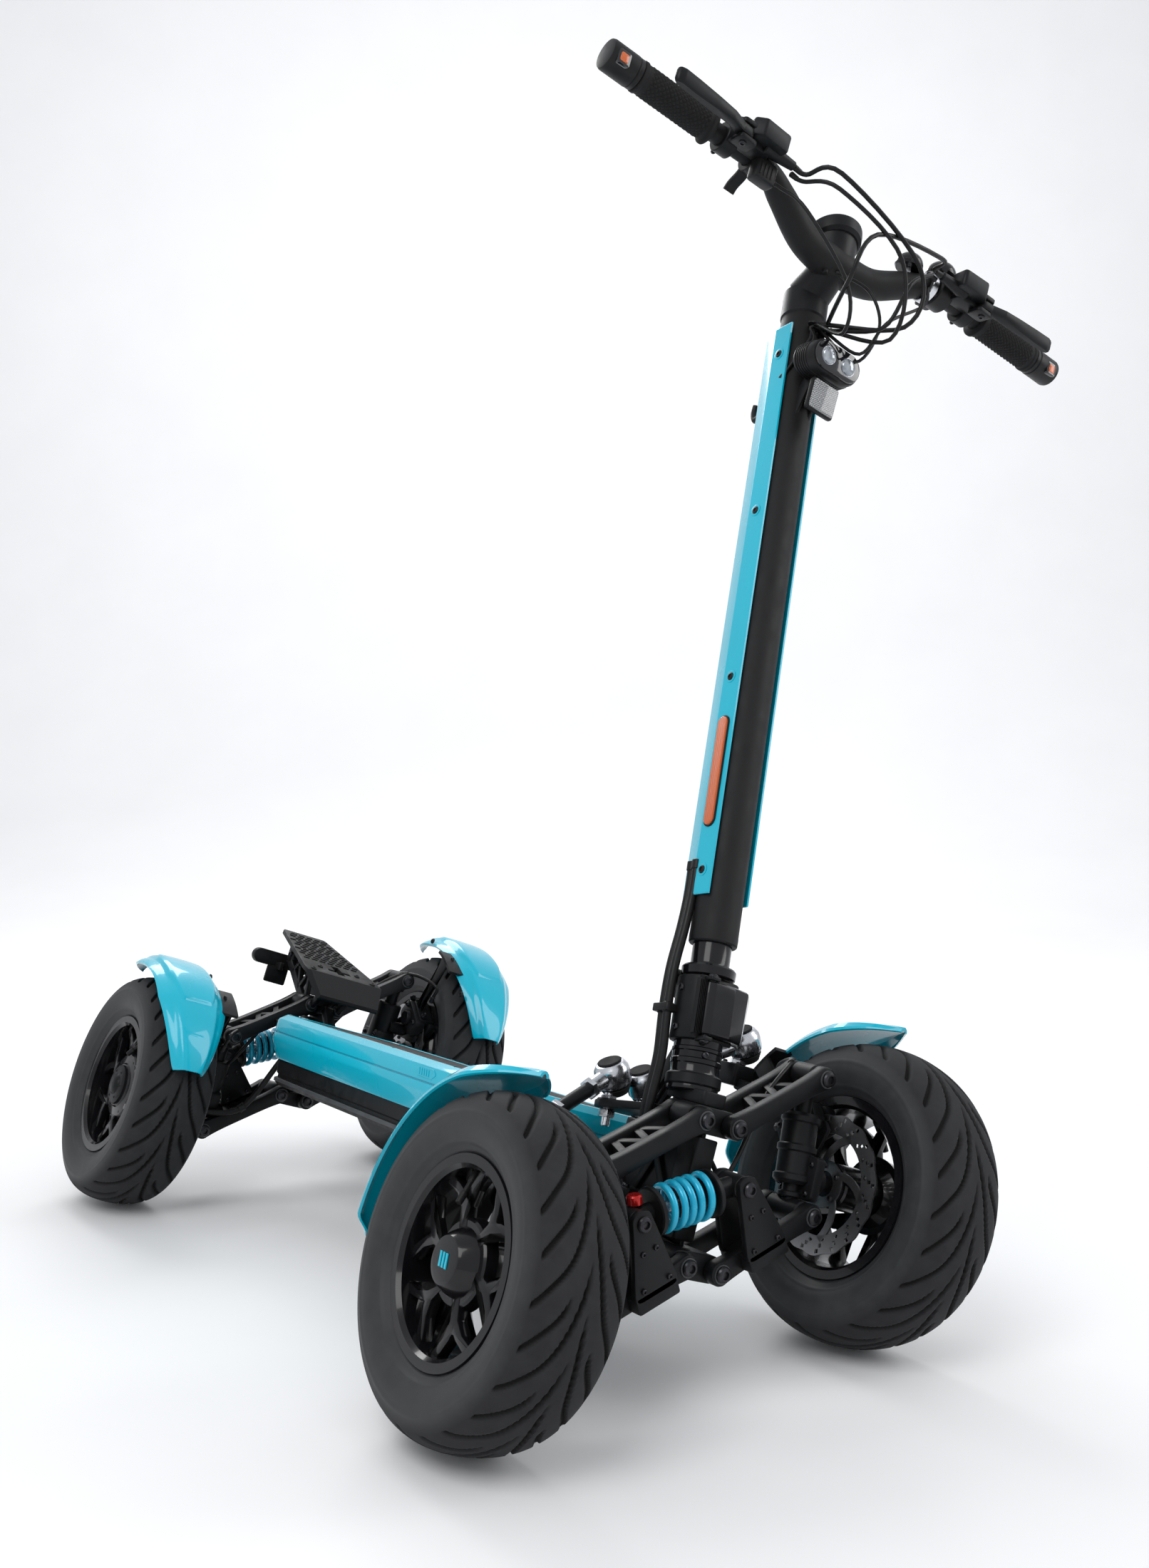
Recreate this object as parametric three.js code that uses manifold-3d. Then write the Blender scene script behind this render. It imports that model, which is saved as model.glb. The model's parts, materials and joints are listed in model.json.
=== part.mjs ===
// Four-wheeled leaning stand-up electric scooter, millimetres, +Z up, front towards -Y,
// rider's left towards +X. It stands leaned to the rider's left on its tilting wishbones.
import * as THREE from 'three';
import { mergeVertices } from 'three/addons/utils/BufferGeometryUtils.js';
import Module from 'manifold-3d';

const wasm = await Module();
wasm.setup();

// ---- Driving dimensions -------------------------------------------------------------------
const wheelbase = 930;
const track = 447; // between wheel centres, along the ground
const tyreRadius = 152.5;
const tyreWidth = 104;
const rimRadius = 92.5; // outer edge of the rim flange
const rimHalfWidth = 38;
const discRadius = 70;
const discOffset = 53; // disc plane, inboard of the wheel's centre plane
const discThickness = 2;
const wheelCentreHeight = 148.4; // upright chassis frame, above the ground plane
const leanDeg = 18.3; // lean of the chassis and wheels at rest
const armAngleDeg = 35.5; // wishbones to the chassis at rest
const armLength = 120; // inner to outer pivot
const innerPivotX = 21;
const upperPivotZ = 249;
const lowerPivotZ = 116.3;
const upperArmShift = 17; // upper wishbones sit this far towards the middle of the wheelbase
const fit = 0.4; // running clearance
const legThickness = 14;
const legHeight = 19;
const webHalfHeight = 6;
const bossRadius = 13;
const pinRadius = 5;
const upperLegGap = 30; // space between the two legs of an upper wishbone
const lowerLegGap = 46;
const eyeX = 43.4; // damper eye on its tower, in the wishbone's frame
const eyeZ = 69.5;
const towerShift = 30; // damper plane, outside the axle line
const towerGap = 30; // between the tower's plates
const postRadius = 9;
const knuckleRadius = 18;
const axleRadius = 8;
const ballX = 21; // inner ball joints of the tie rods
const ballY = 151; // behind the front axle
const ballZ = 268;
const outerBallY = 125;
const housingRadius = 18;
const rakeDeg = 9.4;
const steerBaseY = -439; // steering axis at the height steerBaseZ
const steerBaseZ = 150;
const deckFrontY = -288;
const deckRearY = 372;
const deckHalfWidth = 98;
const deckTopZ = 229;
const coverLowZ = 170;
const trayBottomZ = 136;
const coverWall = 4;
const tubeRadius = 25;
const tubeWall = 3;
const innerTubeRadius = 20;
const baseTubeRadius = 24.5;
const clampRadius = 30;
const clampLowS = 171; // foot of the fold clamp, along the steering axis
const foldS = 236; // fold joint, along the steering axis
const tubeStartS = 272;
const tubeEndS = 1020;
const coverStartS = 319;
const coverEndS = 1000;
const barY = -317;
const barZ = 1262;
const barHalf = 364;
const barEndRadius = 11.1;
const guardWall = 3;

const lean = THREE.MathUtils.degToRad(leanDeg);
const armAngle = THREE.MathUtils.degToRad(armAngleDeg);
const rake = THREE.MathUtils.degToRad(rakeDeg);
const pivotRise = upperPivotZ - lowerPivotZ;
const armReach = armLength * Math.cos(armAngle);
const armRise = armLength * Math.sin(armAngle);
const wheelX = (track / 2) * Math.cos(lean);
const wheelOut = wheelX - innerPivotX - armReach; // outer pivots to the wheel's centre plane
const wheelUp = wheelCentreHeight - lowerPivotZ;
const axleY = wheelbase / 2;

// ---- Materials ----------------------------------------------------------------------------
const finish = (color, roughness, metalness) =>
  new THREE.MeshStandardMaterial({ color, roughness, metalness });
const cyan = finish(0x00c0d4, 0.18, 0);
const satinBlack = finish(0x18191b, 0.42, 0.4);
const mattBlack = finish(0x1c1c1e, 0.7, 0);
const glossBlack = finish(0x060607, 0.12, 0.2);
const rubber = finish(0x2a2a2c, 0.85, 0);
const zinc = finish(0xc8ccd0, 0.25, 1);
const steel = finish(0x77797c, 0.35, 1);
const springBlue = finish(0x18a8c8, 0.3, 0.1);
const lensBlack = finish(0x101012, 0.08, 0);

// ---- Solids -------------------------------------------------------------------------------
const V = (x, y, z) => new THREE.Vector3(x, y, z);

// A closed three.js geometry as a solid: faces shrunk to nothing at poles go, and a shape
// whose faces point inwards is turned round.
function solid(shape) {
  if (shape.getMesh) return shape;
  const loose = shape.index ? shape.toNonIndexed() : shape;
  const points = new THREE.BufferGeometry();
  points.setAttribute('position', loose.getAttribute('position'));
  const merged = mergeVertices(points, 1e-3);
  const corners = merged.index.array;
  const kept = [];
  for (let i = 0; i < corners.length; i += 3) {
    const [a, b, c] = [corners[i], corners[i + 1], corners[i + 2]];
    if (a !== b && b !== c && c !== a) kept.push(a, b, c);
  }
  const vertProperties = new Float32Array(merged.attributes.position.array);
  const made = (list) =>
    new wasm.Manifold(new wasm.Mesh({ numProp: 3, vertProperties, triVerts: new Uint32Array(list) }));
  const outward = made(kept);
  return outward.volume() > 0 ? outward : made(kept.reverse());
}

const join = (...shapes) => shapes.map(solid).reduce((all, next) => all.add(next));
const cut = (body, ...tools) => tools.map(solid).reduce((left, tool) => left.subtract(tool), solid(body));
const common = (one, other) => solid(one).intersect(solid(other));

function mesh(name, shape, material) {
  const data = solid(shape).getMesh();
  const geometry = new THREE.BufferGeometry();
  geometry.setAttribute('position', new THREE.BufferAttribute(data.vertProperties, 3));
  geometry.setIndex(new THREE.BufferAttribute(data.triVerts, 1));
  geometry.computeVertexNormals();
  const made = new THREE.Mesh(geometry, material);
  made.name = name;
  return made;
}

// A block between two places on each axis, in any order.
function block([x0, x1], [y0, y1], [z0, z1]) {
  const geometry = new THREE.BoxGeometry(Math.abs(x1 - x0), Math.abs(y1 - y0), Math.abs(z1 - z0));
  return geometry.translate((x0 + x1) / 2, (y0 + y1) / 2, (z0 + z1) / 2);
}

// Faces round a circle, from the number that a smooth one would have.
const coarseness = 0.45;
const facets = (sides) => Math.max(8, Math.round(sides * coarseness));
const boreSides = 16;

// A round bar from one point to another, tapering when it is given a second radius.
function rod(from, to, radius, sides = 14, endRadius = radius) {
  const along = to.clone().sub(from);
  const geometry = new THREE.CylinderGeometry(endRadius, radius, along.length(), facets(sides));
  const turn = new THREE.Quaternion().setFromUnitVectors(V(0, 1, 0), along.normalize());
  const middle = from.clone().add(to).multiplyScalar(0.5);
  return geometry.applyQuaternion(turn).translate(middle.x, middle.y, middle.z);
}
const bore = (from, to, radius) =>
  rod(from, to, (radius + fit) / Math.cos(Math.PI / facets(boreSides)), boreSides);
const boreX = (x0, x1, y, z, radius) => bore(V(x0, y, z), V(x1, y, z), radius);
const boreY = (y0, y1, x, z, radius) => bore(V(x, y0, z), V(x, y1, z), radius);
const boreZ = (z0, z1, x, y, radius) => bore(V(x, y, z0), V(x, y, z1), radius);
const rodX = (x0, x1, y, z, radius, sides) => rod(V(x0, y, z), V(x1, y, z), radius, sides);
const rodY = (y0, y1, x, z, radius, sides) => rod(V(x, y0, z), V(x, y1, z), radius, sides);
const rodZ = (z0, z1, x, y, radius, sides) => rod(V(x, y, z0), V(x, y, z1), radius, sides);

const outline = (points) => new THREE.Shape(points.map(([a, b]) => new THREE.Vector2(a, b)));

// A flat plate: an outline in one plane, thickened between two places on the third axis.
function plate(plane, points, from, to) {
  const low = Math.min(from, to);
  const depth = Math.abs(to - from);
  const geometry = new THREE.ExtrudeGeometry(outline(points), { depth, bevelEnabled: false });
  const basis = new THREE.Matrix4();
  if (plane === 'yz') basis.makeBasis(V(0, 1, 0), V(0, 0, 1), V(1, 0, 0)).setPosition(low, 0, 0);
  if (plane === 'xz') basis.makeBasis(V(1, 0, 0), V(0, 0, 1), V(0, -1, 0)).setPosition(0, low + depth, 0);
  if (plane === 'xy') basis.setPosition(0, 0, low);
  return geometry.applyMatrix4(basis);
}

// The outline of a link with round ends, each with its own radius.
function link([ax, ay], [bx, by], startRadius, endRadius = startRadius, steps = 6) {
  const angle = Math.atan2(by - ay, bx - ax);
  const points = [];
  for (let i = 0; i <= steps; i++) {
    const t = angle + Math.PI / 2 + (Math.PI * i) / steps;
    points.push([ax + startRadius * Math.cos(t), ay + startRadius * Math.sin(t)]);
  }
  for (let i = 0; i <= steps; i++) {
    const t = angle - Math.PI / 2 + (Math.PI * i) / steps;
    points.push([bx + endRadius * Math.cos(t), by + endRadius * Math.sin(t)]);
  }
  return points;
}

// Bodies of revolution, from [radius, place on the axis] pairs.
function turned(profile, sides) {
  return new THREE.LatheGeometry(profile.map(([r, h]) => new THREE.Vector2(r, h)), facets(sides));
}
const turnedX = (profile, sides) => turned(profile, sides).rotateZ(-Math.PI / 2);
const turnedZ = (profile, sides) => turned(profile, sides).rotateX(Math.PI / 2);

// The point of a circle about the X axis: angle 0 is towards the vehicle's middle.
const around = (radius, degrees, inward) => {
  const angle = THREE.MathUtils.degToRad(degrees);
  return [inward * radius * Math.cos(angle), radius * Math.sin(angle)];
};

function group(parent, x, y, z, turnY = 0) {
  const made = new THREE.Group();
  made.position.set(x, y, z);
  made.rotation.y = turnY;
  parent.add(made);
  return made;
}

// ---- Wheels: centre at the origin, axle along X, side is +1 on the left ---------------------
function tyre(name) {
  const half = tyreWidth / 2;
  const beadRadius = rimRadius - 6;
  const bead = rimHalfWidth - 4;
  const right = [
    [beadRadius, bead], [rimRadius + 4, rimHalfWidth + 1], [rimRadius + 22, half],
    [tyreRadius - 14, half - 2], [tyreRadius - 5, half * 0.62], [tyreRadius, half * 0.22],
  ];
  const left = right.map(([r, x]) => [r, -x]).reverse();
  const inside = [[beadRadius + 8, -bead], [beadRadius + 8, bead]];
  return mesh(name, turnedX([...right, ...left, ...inside, right[0]], 44), rubber);
}

const rimSeat = rimRadius - 6 - fit;
const rimWall = 5;

function rimRing() {
  const lip = rimRadius - 1;
  const seatEnd = rimHalfWidth - 4 + fit;
  const inner = rimSeat - rimWall;
  return turnedX([
    [inner, -rimHalfWidth - 3], [lip, -rimHalfWidth - 3], [lip, -seatEnd - 4], [rimSeat, -seatEnd],
    [rimSeat, seatEnd], [lip, seatEnd + 4], [lip, rimHalfWidth + 3], [inner, rimHalfWidth + 3],
    [inner, -rimHalfWidth - 3],
  ], 44);
}

function spokes(side, hubRadius, outerFace) {
  const count = 6;
  const made = [];
  for (let i = 0; i < count; i++) {
    const arm = plate('yz', link([hubRadius - 8, 0], [rimSeat - 2, 0], 8, 6, 3),
      side * (outerFace - 12), side * outerFace);
    made.push(arm.rotateX((i / count) * 2 * Math.PI));
  }
  return made;
}

function frontRim(name, side) {
  const hub = rodX(-side * 44, side * 28, 0, 0, 24, 20);
  const cap = rod(V(side * 20, 0, 0), V(side * 42, 0, 0), 24, 20, 17);
  const body = join(rimRing(), hub, cap, ...spokes(side, 24, 26));
  return mesh(name, cut(body, boreX(-side * 50, side * 24, 0, 0, axleRadius)), glossBlack);
}

function hubMotor(name, side) {
  const drum = turnedX([[0, -40], [58, -40], [66, -30], [66, 2], [40, 14], [34, 24], [0, 24]], 28);
  if (side < 0) drum.scale(-1, 1, 1);
  const body = join(rimRing(), drum, ...spokes(side, 40, 26));
  return mesh(name, cut(body, boreX(-side * 50, side * 17, 0, 0, axleRadius)), satinBlack);
}

function brakeDisc(name) {
  const windows = 5;
  const half = discThickness / 2;
  const holes = [];
  for (let i = 0; i < windows; i++) {
    const angle = (i / windows) * 2 * Math.PI;
    const lead = angle + 0.3;
    const near = [36 * Math.cos(angle), 36 * Math.sin(angle)];
    const far = [discRadius * 0.68 * Math.cos(lead), discRadius * 0.68 * Math.sin(lead)];
    holes.push(plate('yz', link(near, far, 6, 9, 4), -2 * half, 2 * half));
  }
  const body = rodX(-half, half, 0, 0, discRadius, 40);
  return mesh(name, cut(body, rodX(-4, 4, 0, 0, axleRadius + 4, 16), ...holes), steel);
}

// ---- Suspension: inward is +1 where the vehicle's middle lies towards +Y ---------------------
// A two-legged wishbone from its inner pivot at the origin to its outer pivot; each end has its
// pin across the gap between the legs.
function wishbone(side, inward, shift, gap) {
  const end = side * armLength;
  const near = shift - gap / 2;
  const far = shift + gap / 2;
  const leg = (y0) => {
    const outline = link([0, 0], [end, 0], legHeight / 2);
    const bar = plate('xz', outline, inward * y0, inward * (y0 + legThickness));
    const boss = (x) => rodY(inward * y0, inward * (y0 + legThickness), x, 0, bossRadius, 16);
    return join(bar, boss(0), boss(end));
  };
  const pin = (x) => rodY(inward * (near - 1), inward * (far + 1), x, 0, pinRadius, 12);
  const webs = [];
  for (const [from, to] of [[34, 50], [62, 50], [62, 78], [90, 78]])
    webs.push(plate('xy', link([side * from, inward * (near - 4)], [side * to, inward * (far + 4)], 4, 4, 3),
      -webHalfHeight, webHalfHeight));
  return join(leg(near - legThickness), leg(far), pin(0), pin(end), ...webs);
}

function upperArm(name, side, inward) {
  return mesh(name, wishbone(side, inward, upperArmShift, upperLegGap), satinBlack);
}

// The lower wishbone carries the damper's tower: two plates with the damper's pin between them.
function lowerArm(name, side, inward) {
  const towerPlate = 7;
  const wall = [
    [side * (eyeX - 22), 4], [side * (eyeX - 12), eyeZ - 8], [side * (eyeX - 9), eyeZ + 9],
    [side * eyeX, eyeZ + 13], [side * (eyeX + 9), eyeZ + 9], [side * (eyeX + 14), eyeZ - 8],
    [side * (eyeX + 30), 4],
  ];
  const outside = -towerShift - towerGap / 2;
  const inside = -towerShift + towerGap / 2;
  const front = plate('xz', wall, inward * outside, inward * (outside - towerPlate));
  const back = plate('xz', wall, inward * inside, inward * (inside + towerPlate));
  const foot = block([side * (eyeX - 18), side * (eyeX + 26)],
    [inward * (outside - towerPlate), inward * (inside + towerPlate)], [-8, 8]);
  const pin = rodY(inward * (outside - 1), inward * (inside + 1), side * eyeX, eyeZ, pinRadius, 12);
  return mesh(name, join(wishbone(side, inward, 0, lowerLegGap), front, back, foot, pin), satinBlack);
}

// Point on the raked swivel axis, its height above the lower outer pivot given.
const swivelAt = (height, inward) => V(0, (inward * upperArmShift * height) / pivotRise, height);

// Upright between the outer pivots. Its middle is the round post that a steered hub turns on.
function upright(inward) {
  const play = 2 * fit;
  const lower = rodY(-lowerLegGap / 2 + play, lowerLegGap / 2 - play, 0, 0, bossRadius - 1, 16);
  const upperMiddle = inward * upperArmShift;
  const upperHalf = upperLegGap / 2 - play;
  const upper = rodY(upperMiddle - upperHalf, upperMiddle + upperHalf, 0, pivotRise, bossRadius - 1, 16);
  const post = rod(swivelAt(4, inward), swivelAt(pivotRise - 4, inward), postRadius, 16);
  return cut(join(lower, upper, post),
    boreY(-60, 60, 0, 0, pinRadius), boreY(-60, 60, 0, pivotRise, pinRadius));
}

const sleeveLow = 24;
const sleeveHigh = 94;

function stubAxle(side) {
  return join(rodX(side * 4, side * (wheelOut + 14), 0, wheelUp, axleRadius, 14),
    rodX(side * 4, side * (wheelOut - discOffset - 10), 0, wheelUp, 15, 16));
}

// Lug that the mudguard's stay is bolted to.
const guardFace = 64; // inboard of the wheel's centre plane
const lugY = 22;
const lugZ = 30;
function guardLug(side, inward) {
  return rodX(side * 2, side * (wheelOut - guardFace - fit), inward * lugY, wheelUp + lugZ, 9, 12);
}

function knuckle(name, side, inward) {
  const sleeve = rod(swivelAt(sleeveLow, inward), swivelAt(sleeveHigh, inward), knuckleRadius, 20);
  const blockTop = ballZ - lowerPivotZ - housingRadius - 9;
  const arm = plate('yz', [[10, 76], [30, 88], [outerBallY - 12, 103], [outerBallY - 12, 115], [34, 100],
    [10, 96]].map(([y, z]) => [inward * y, z - 1]), -8, 8);
  const seat = block([-13, 13], [inward * (outerBallY - 14), inward * (outerBallY + 14)], [blockTop - 22, blockTop]);
  const studTop = ballZ - lowerPivotZ - housingRadius - 5;
  const stud = rodZ(blockTop - 2, studTop, 0, inward * outerBallY, pinRadius, 12);
  const hole = bore(swivelAt(sleeveLow - 14, inward), swivelAt(pivotRise - 14, inward), postRadius);
  const body = cut(join(sleeve, arm, stubAxle(side), guardLug(side, inward)), hole);
  return mesh(name, join(body, seat, stud), satinBlack);
}

function rearCarrier(name, side, inward) {
  const clampBody = rod(swivelAt(sleeveLow, inward), swivelAt(sleeveHigh, inward), knuckleRadius, 20);
  return mesh(name, join(upright(inward), clampBody, stubAxle(side), guardLug(side, inward)), satinBlack);
}

// ---- Damper between the two towers ----------------------------------------------------------
const eyeSpanX = 2 * (innerPivotX + eyeX * Math.cos(armAngle));
const eyeSpanZ = 2 * eyeX * Math.sin(armAngle);
const damperLength = Math.hypot(eyeSpanX, eyeSpanZ);
const damperAngle = Math.atan2(eyeSpanZ, eyeSpanX);
const damperBodyRadius = 13.5;
const rodBore = 7;
const springRadius = 19.5;
const wireRadius = 3.6;
const springTurns = 5;
const springStart = 38;
const springEnd = damperLength - 32;

const damperEye = () => rodY(-towerGap / 2 + 1, towerGap / 2 - 1, 0, 0, 11, 16);

// Body end: its eye at the origin, the damper running towards -X.
function damperBody(name) {
  const seat = springStart - wireRadius - 1;
  const body = join(damperEye(), rodX(-6, -seat, 0, 0, 10, 16),
    rodX(-seat + 4, -springEnd + 22, 0, 0, damperBodyRadius, 20),
    rodX(-seat + 4, -seat, 0, 0, springRadius + wireRadius, 24));
  return mesh(name, cut(body, boreY(-40, 40, 0, 0, pinRadius),
    rodX(-26, -springEnd, 0, 0, rodBore, 14)), satinBlack);
}

// Rod end: its eye at the origin, the rod running towards +X into the body.
function damperRod(name) {
  const seat = damperLength - springEnd - wireRadius - 1;
  const reach = damperLength - 40;
  const body = join(damperEye(), rodX(6, seat, 0, 0, 9, 16),
    rodX(seat - 4, seat, 0, 0, springRadius + wireRadius, 24),
    rodX(seat - 1, reach, 0, 0, rodBore - 1.2, 12));
  return mesh(name, cut(body, boreY(-40, 40, 0, 0, pinRadius)), satinBlack);
}

class Helix extends THREE.Curve {
  getPoint(t) {
    const angle = t * springTurns * 2 * Math.PI;
    return V(-springStart - t * (springEnd - springStart),
      springRadius * Math.cos(angle), springRadius * Math.sin(angle));
  }
}

function spring(name) {
  const section = new THREE.Shape().absarc(0, 0, wireRadius, 0, 2 * Math.PI);
  const wire = new THREE.ExtrudeGeometry(section, {
    steps: springTurns * 9, extrudePath: new Helix(), curveSegments: 3, bevelEnabled: false,
  });
  return mesh(name, wire, springBlue);
}

// ---- Mudguards, about the wheel's centre ------------------------------------------------------
function mudguard(name, side, inward, radius, fromDeg, toDeg, stayDeg) {
  const half = 49;
  const skin = [[radius - 9, half], [radius, half - 9], [radius + 2, 12]];
  const outer = [...skin, ...skin.map(([r, x]) => [r, -x]).reverse()];
  const inner = outer.map(([r, x]) => [r - guardWall, x * 0.95]).reverse();
  const ring = turnedX([...outer, ...inner, outer[0]], 60);
  const reach = 2 * radius;
  const span = toDeg - fromDeg;
  const wedge = [[0, 0]];
  for (let i = 0; i <= 4; i++) wedge.push(around(reach, fromDeg + (span * i) / 4, inward));
  const shell = common(ring, plate('yz', wedge, -half - 5, half + 5));
  const tie = link(around(radius - 5, stayDeg - 8, inward), around(radius - 5, stayDeg + 8, inward), 5);
  const bridge = plate('yz', tie, -side * (guardFace), -side * (half - 10));
  const face = [-side * guardFace, -side * (guardFace - 4)];
  const stay = plate('yz', link([inward * lugY, lugZ], around(radius - 6, stayDeg, inward), 11, 12),
    face[0], face[1]);
  return mesh(name, cut(join(shell, bridge, stay), tyreSpace()), cyan);
}

// Room that the tyre needs inside a mudguard.
const tyreSpace = () => rodX(-tyreWidth / 2 - 4, tyreWidth / 2 + 4, 0, 0, tyreRadius + 3, 44);

// ---- Deck ---------------------------------------------------------------------------------
const trayHalf = 84;
const trayFrontY = deckFrontY + 8;
const trayRearY = deckRearY - 8;
const trayTopZ = deckTopZ - 8;
const lipHalf = 80;

function deckTray() {
  const wall = 4;
  const shell = block([-trayHalf, trayHalf], [trayFrontY, trayRearY], [trayBottomZ, trayTopZ]);
  const room = block([-trayHalf + wall, trayHalf - wall], [trayFrontY + wall, trayRearY - wall],
    [trayBottomZ + wall, trayTopZ + 10]);
  return mesh('deck_tray', cut(shell, room), satinBlack);
}

function batteryPack() {
  return mesh('battery_pack', block([-74, 74], [trayFrontY + 20, trayRearY - 90],
    [trayBottomZ + 4 + fit, trayBottomZ + 66]), mattBlack);
}

function gripTop() {
  return mesh('deck_top', block([-lipHalf + fit, lipHalf - fit], [deckFrontY + 5, deckRearY - 5],
    [trayTopZ + fit, deckTopZ - 0.5]), mattBlack);
}

// Side cover: a bent section along the deck, with a return wall round each end.
function sideCover(name, side) {
  const low = coverLowZ;
  const wide = deckHalfWidth;
  const bendZ = 193;
  const section = [
    [lipHalf, deckTopZ], [wide - 9, deckTopZ], [wide, deckTopZ - 8], [wide, bendZ], [wide - 8, low],
    [wide - 8 - coverWall, low], [wide - coverWall, bendZ], [wide - coverWall, deckTopZ - 8 - 2],
    [wide - 11, deckTopZ - coverWall], [lipHalf, deckTopZ - coverWall],
  ].map(([x, z]) => [side * x, z]);
  const outer = section.slice(0, 5);
  const endWall = [...outer, [side * fit, low], [side * fit, deckTopZ]];
  const rearWall = [...outer, [side * (lipHalf - 20), low], [side * (lipHalf - 20), deckTopZ]];
  return mesh(name, join(plate('xz', section, deckFrontY, deckRearY),
    plate('xz', endWall, deckFrontY, deckFrontY + coverWall),
    plate('xz', rearWall, deckRearY - coverWall, deckRearY)), cyan);
}

// Subframe of one axle: beam from the tray, spine, and the two blocks that hold the wishbones.
function subframe(inward, ...more) {
  const axle = -inward * axleY;
  const at = (y) => axle + inward * y;
  const endY = inward > 0 ? trayFrontY - fit : trayRearY + fit;
  const play = 2 * fit;
  const upperY = [at(upperArmShift - upperLegGap / 2 + play), at(upperArmShift + upperLegGap / 2 - play)];
  const lowerY = [at(-lowerLegGap / 2 + play), at(lowerLegGap / 2 - play)];
  const reachX = innerPivotX + bossRadius;
  const upperBlock = plate('xz', link([-innerPivotX, upperPivotZ], [innerPivotX, upperPivotZ], bossRadius),
    upperY[0], upperY[1]);
  const lowerBlock = plate('xz', link([-innerPivotX, lowerPivotZ], [innerPivotX, lowerPivotZ], bossRadius),
    lowerY[0], lowerY[1]);
  const web = block([-13, 13], upperY, [lowerPivotZ + 19, upperPivotZ - 19]);
  const spine = plate('yz', [[at(0), lowerPivotZ + 4], [endY, trayBottomZ + 4], [endY, 158],
    [at(100), 205], [at(60), upperPivotZ + 2], [at(10), upperPivotZ]], -6.5, 6.5);
  const beam = block([-reachX, reachX], [at(64), endY], [trayBottomZ, 166]);
  const pins = [];
  for (const x of [-innerPivotX, innerPivotX])
    for (const z of [lowerPivotZ, upperPivotZ])
      pins.push(boreY(axle - 80, axle + 80, x, z, pinRadius));
  return cut(join(upperBlock, lowerBlock, web, spine, beam, ...more), ...pins);
}

// Steering axis: distance along it and point of the chassis frame at that distance.
const axisPoint = (s) => V(0, steerBaseY + s * Math.sin(rake), steerBaseZ + s * Math.cos(rake));
const headLowS = 117;
const headHighS = 121.6;
const headRadius = 20;

function frontSubframe() {
  const head = rod(axisPoint(headLowS), axisPoint(headHighS), headRadius, 24);
  const neck = block([-15, 15], [steerBaseY - 6, steerBaseY + 42], [262.6, 266.5]);
  const low = block([-6.5, 6.5], [steerBaseY - 18, steerBaseY + 42], [236, 266.5]);
  return mesh('front_subframe', subframe(1, neck, low, head), satinBlack);
}

const plateFrontY = 381; // footplate, at the bend of its lip
const plateFrontZ = 290;
const plateRearY = 558;
const plateRearZ = 340;

function rearSubframe() {
  const bracket = plate('yz', [[418, 232], [440, 232], [540, 300], [540, 328], [524, 324],
    [400, 289], [392, 283], [404, 262]], -24, 24);
  const pocket = plate('yz', [[446, 252], [500, 288], [500, 308], [420, 286], [420, 262]], -30, 30);
  const legRoom = [-1, 1].map((side) => block([side * 5.5, side * 40], [417, 435], [200, 270]));
  const rearRoom = [-1, 1].map((side) => block([side * 5.5, side * 40], [462, 490], [200, 270]));
  const body = cut(bracket, pocket, ...legRoom, ...rearRoom);
  const foot = block([-12, 12], [436, 461], [240, 262]);
  return mesh('rear_subframe', subframe(-1, body, foot), satinBlack);
}

function footplate() {
  const thick = 6;
  const section = [
    [plateFrontY - 31, 261], [plateFrontY, plateFrontZ], [plateRearY, plateRearZ],
    [plateRearY + 2, plateRearZ + thick], [plateFrontY - 3, plateFrontZ + thick],
    [plateFrontY - 36, 264],
  ];
  const plan = [[-45, 340], [45, 340], [60, 382], [60, 400], [35, 562], [-35, 562], [-60, 400], [-60, 382]];
  const slot = (x0, x1, y0, y1) => block([x0, x1], [y0, y1], [240, 400]);
  const body = common(plate('yz', section, -70, 70), plate('xy', plan, 240, 360));
  return mesh('footplate', cut(body, slot(-18, 18, 404, 412), slot(-6, 6, 396, 430)), mattBlack);
}

function tailLight() {
  const bar = plate('xz', link([-62, 301], [62, 301], 11), 562, 584);
  const stem = block([-9, 9], [541, 566], [304, 312]);
  return mesh('tail_light', join(bar, stem), lensBlack);
}

// ---- Steering, in the column's frame: Z along the steering axis ---------------------------------
const turnedBack = (y, z) => [
  (y - steerBaseY) * Math.cos(rake) - (z - steerBaseZ) * Math.sin(rake),
  (y - steerBaseY) * Math.sin(rake) + (z - steerBaseZ) * Math.cos(rake),
];
const [ballColumnY, ballColumnS] = turnedBack(-axleY + ballY, ballZ);
const pitmanTopS = ballColumnS - 28;
const pitmanThickness = 8;
const hingeY = 29;
const leverPivot = [-15, -27];
const leverLowS = clampLowS + 4;
const leverHighS = foldS - 7;

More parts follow.
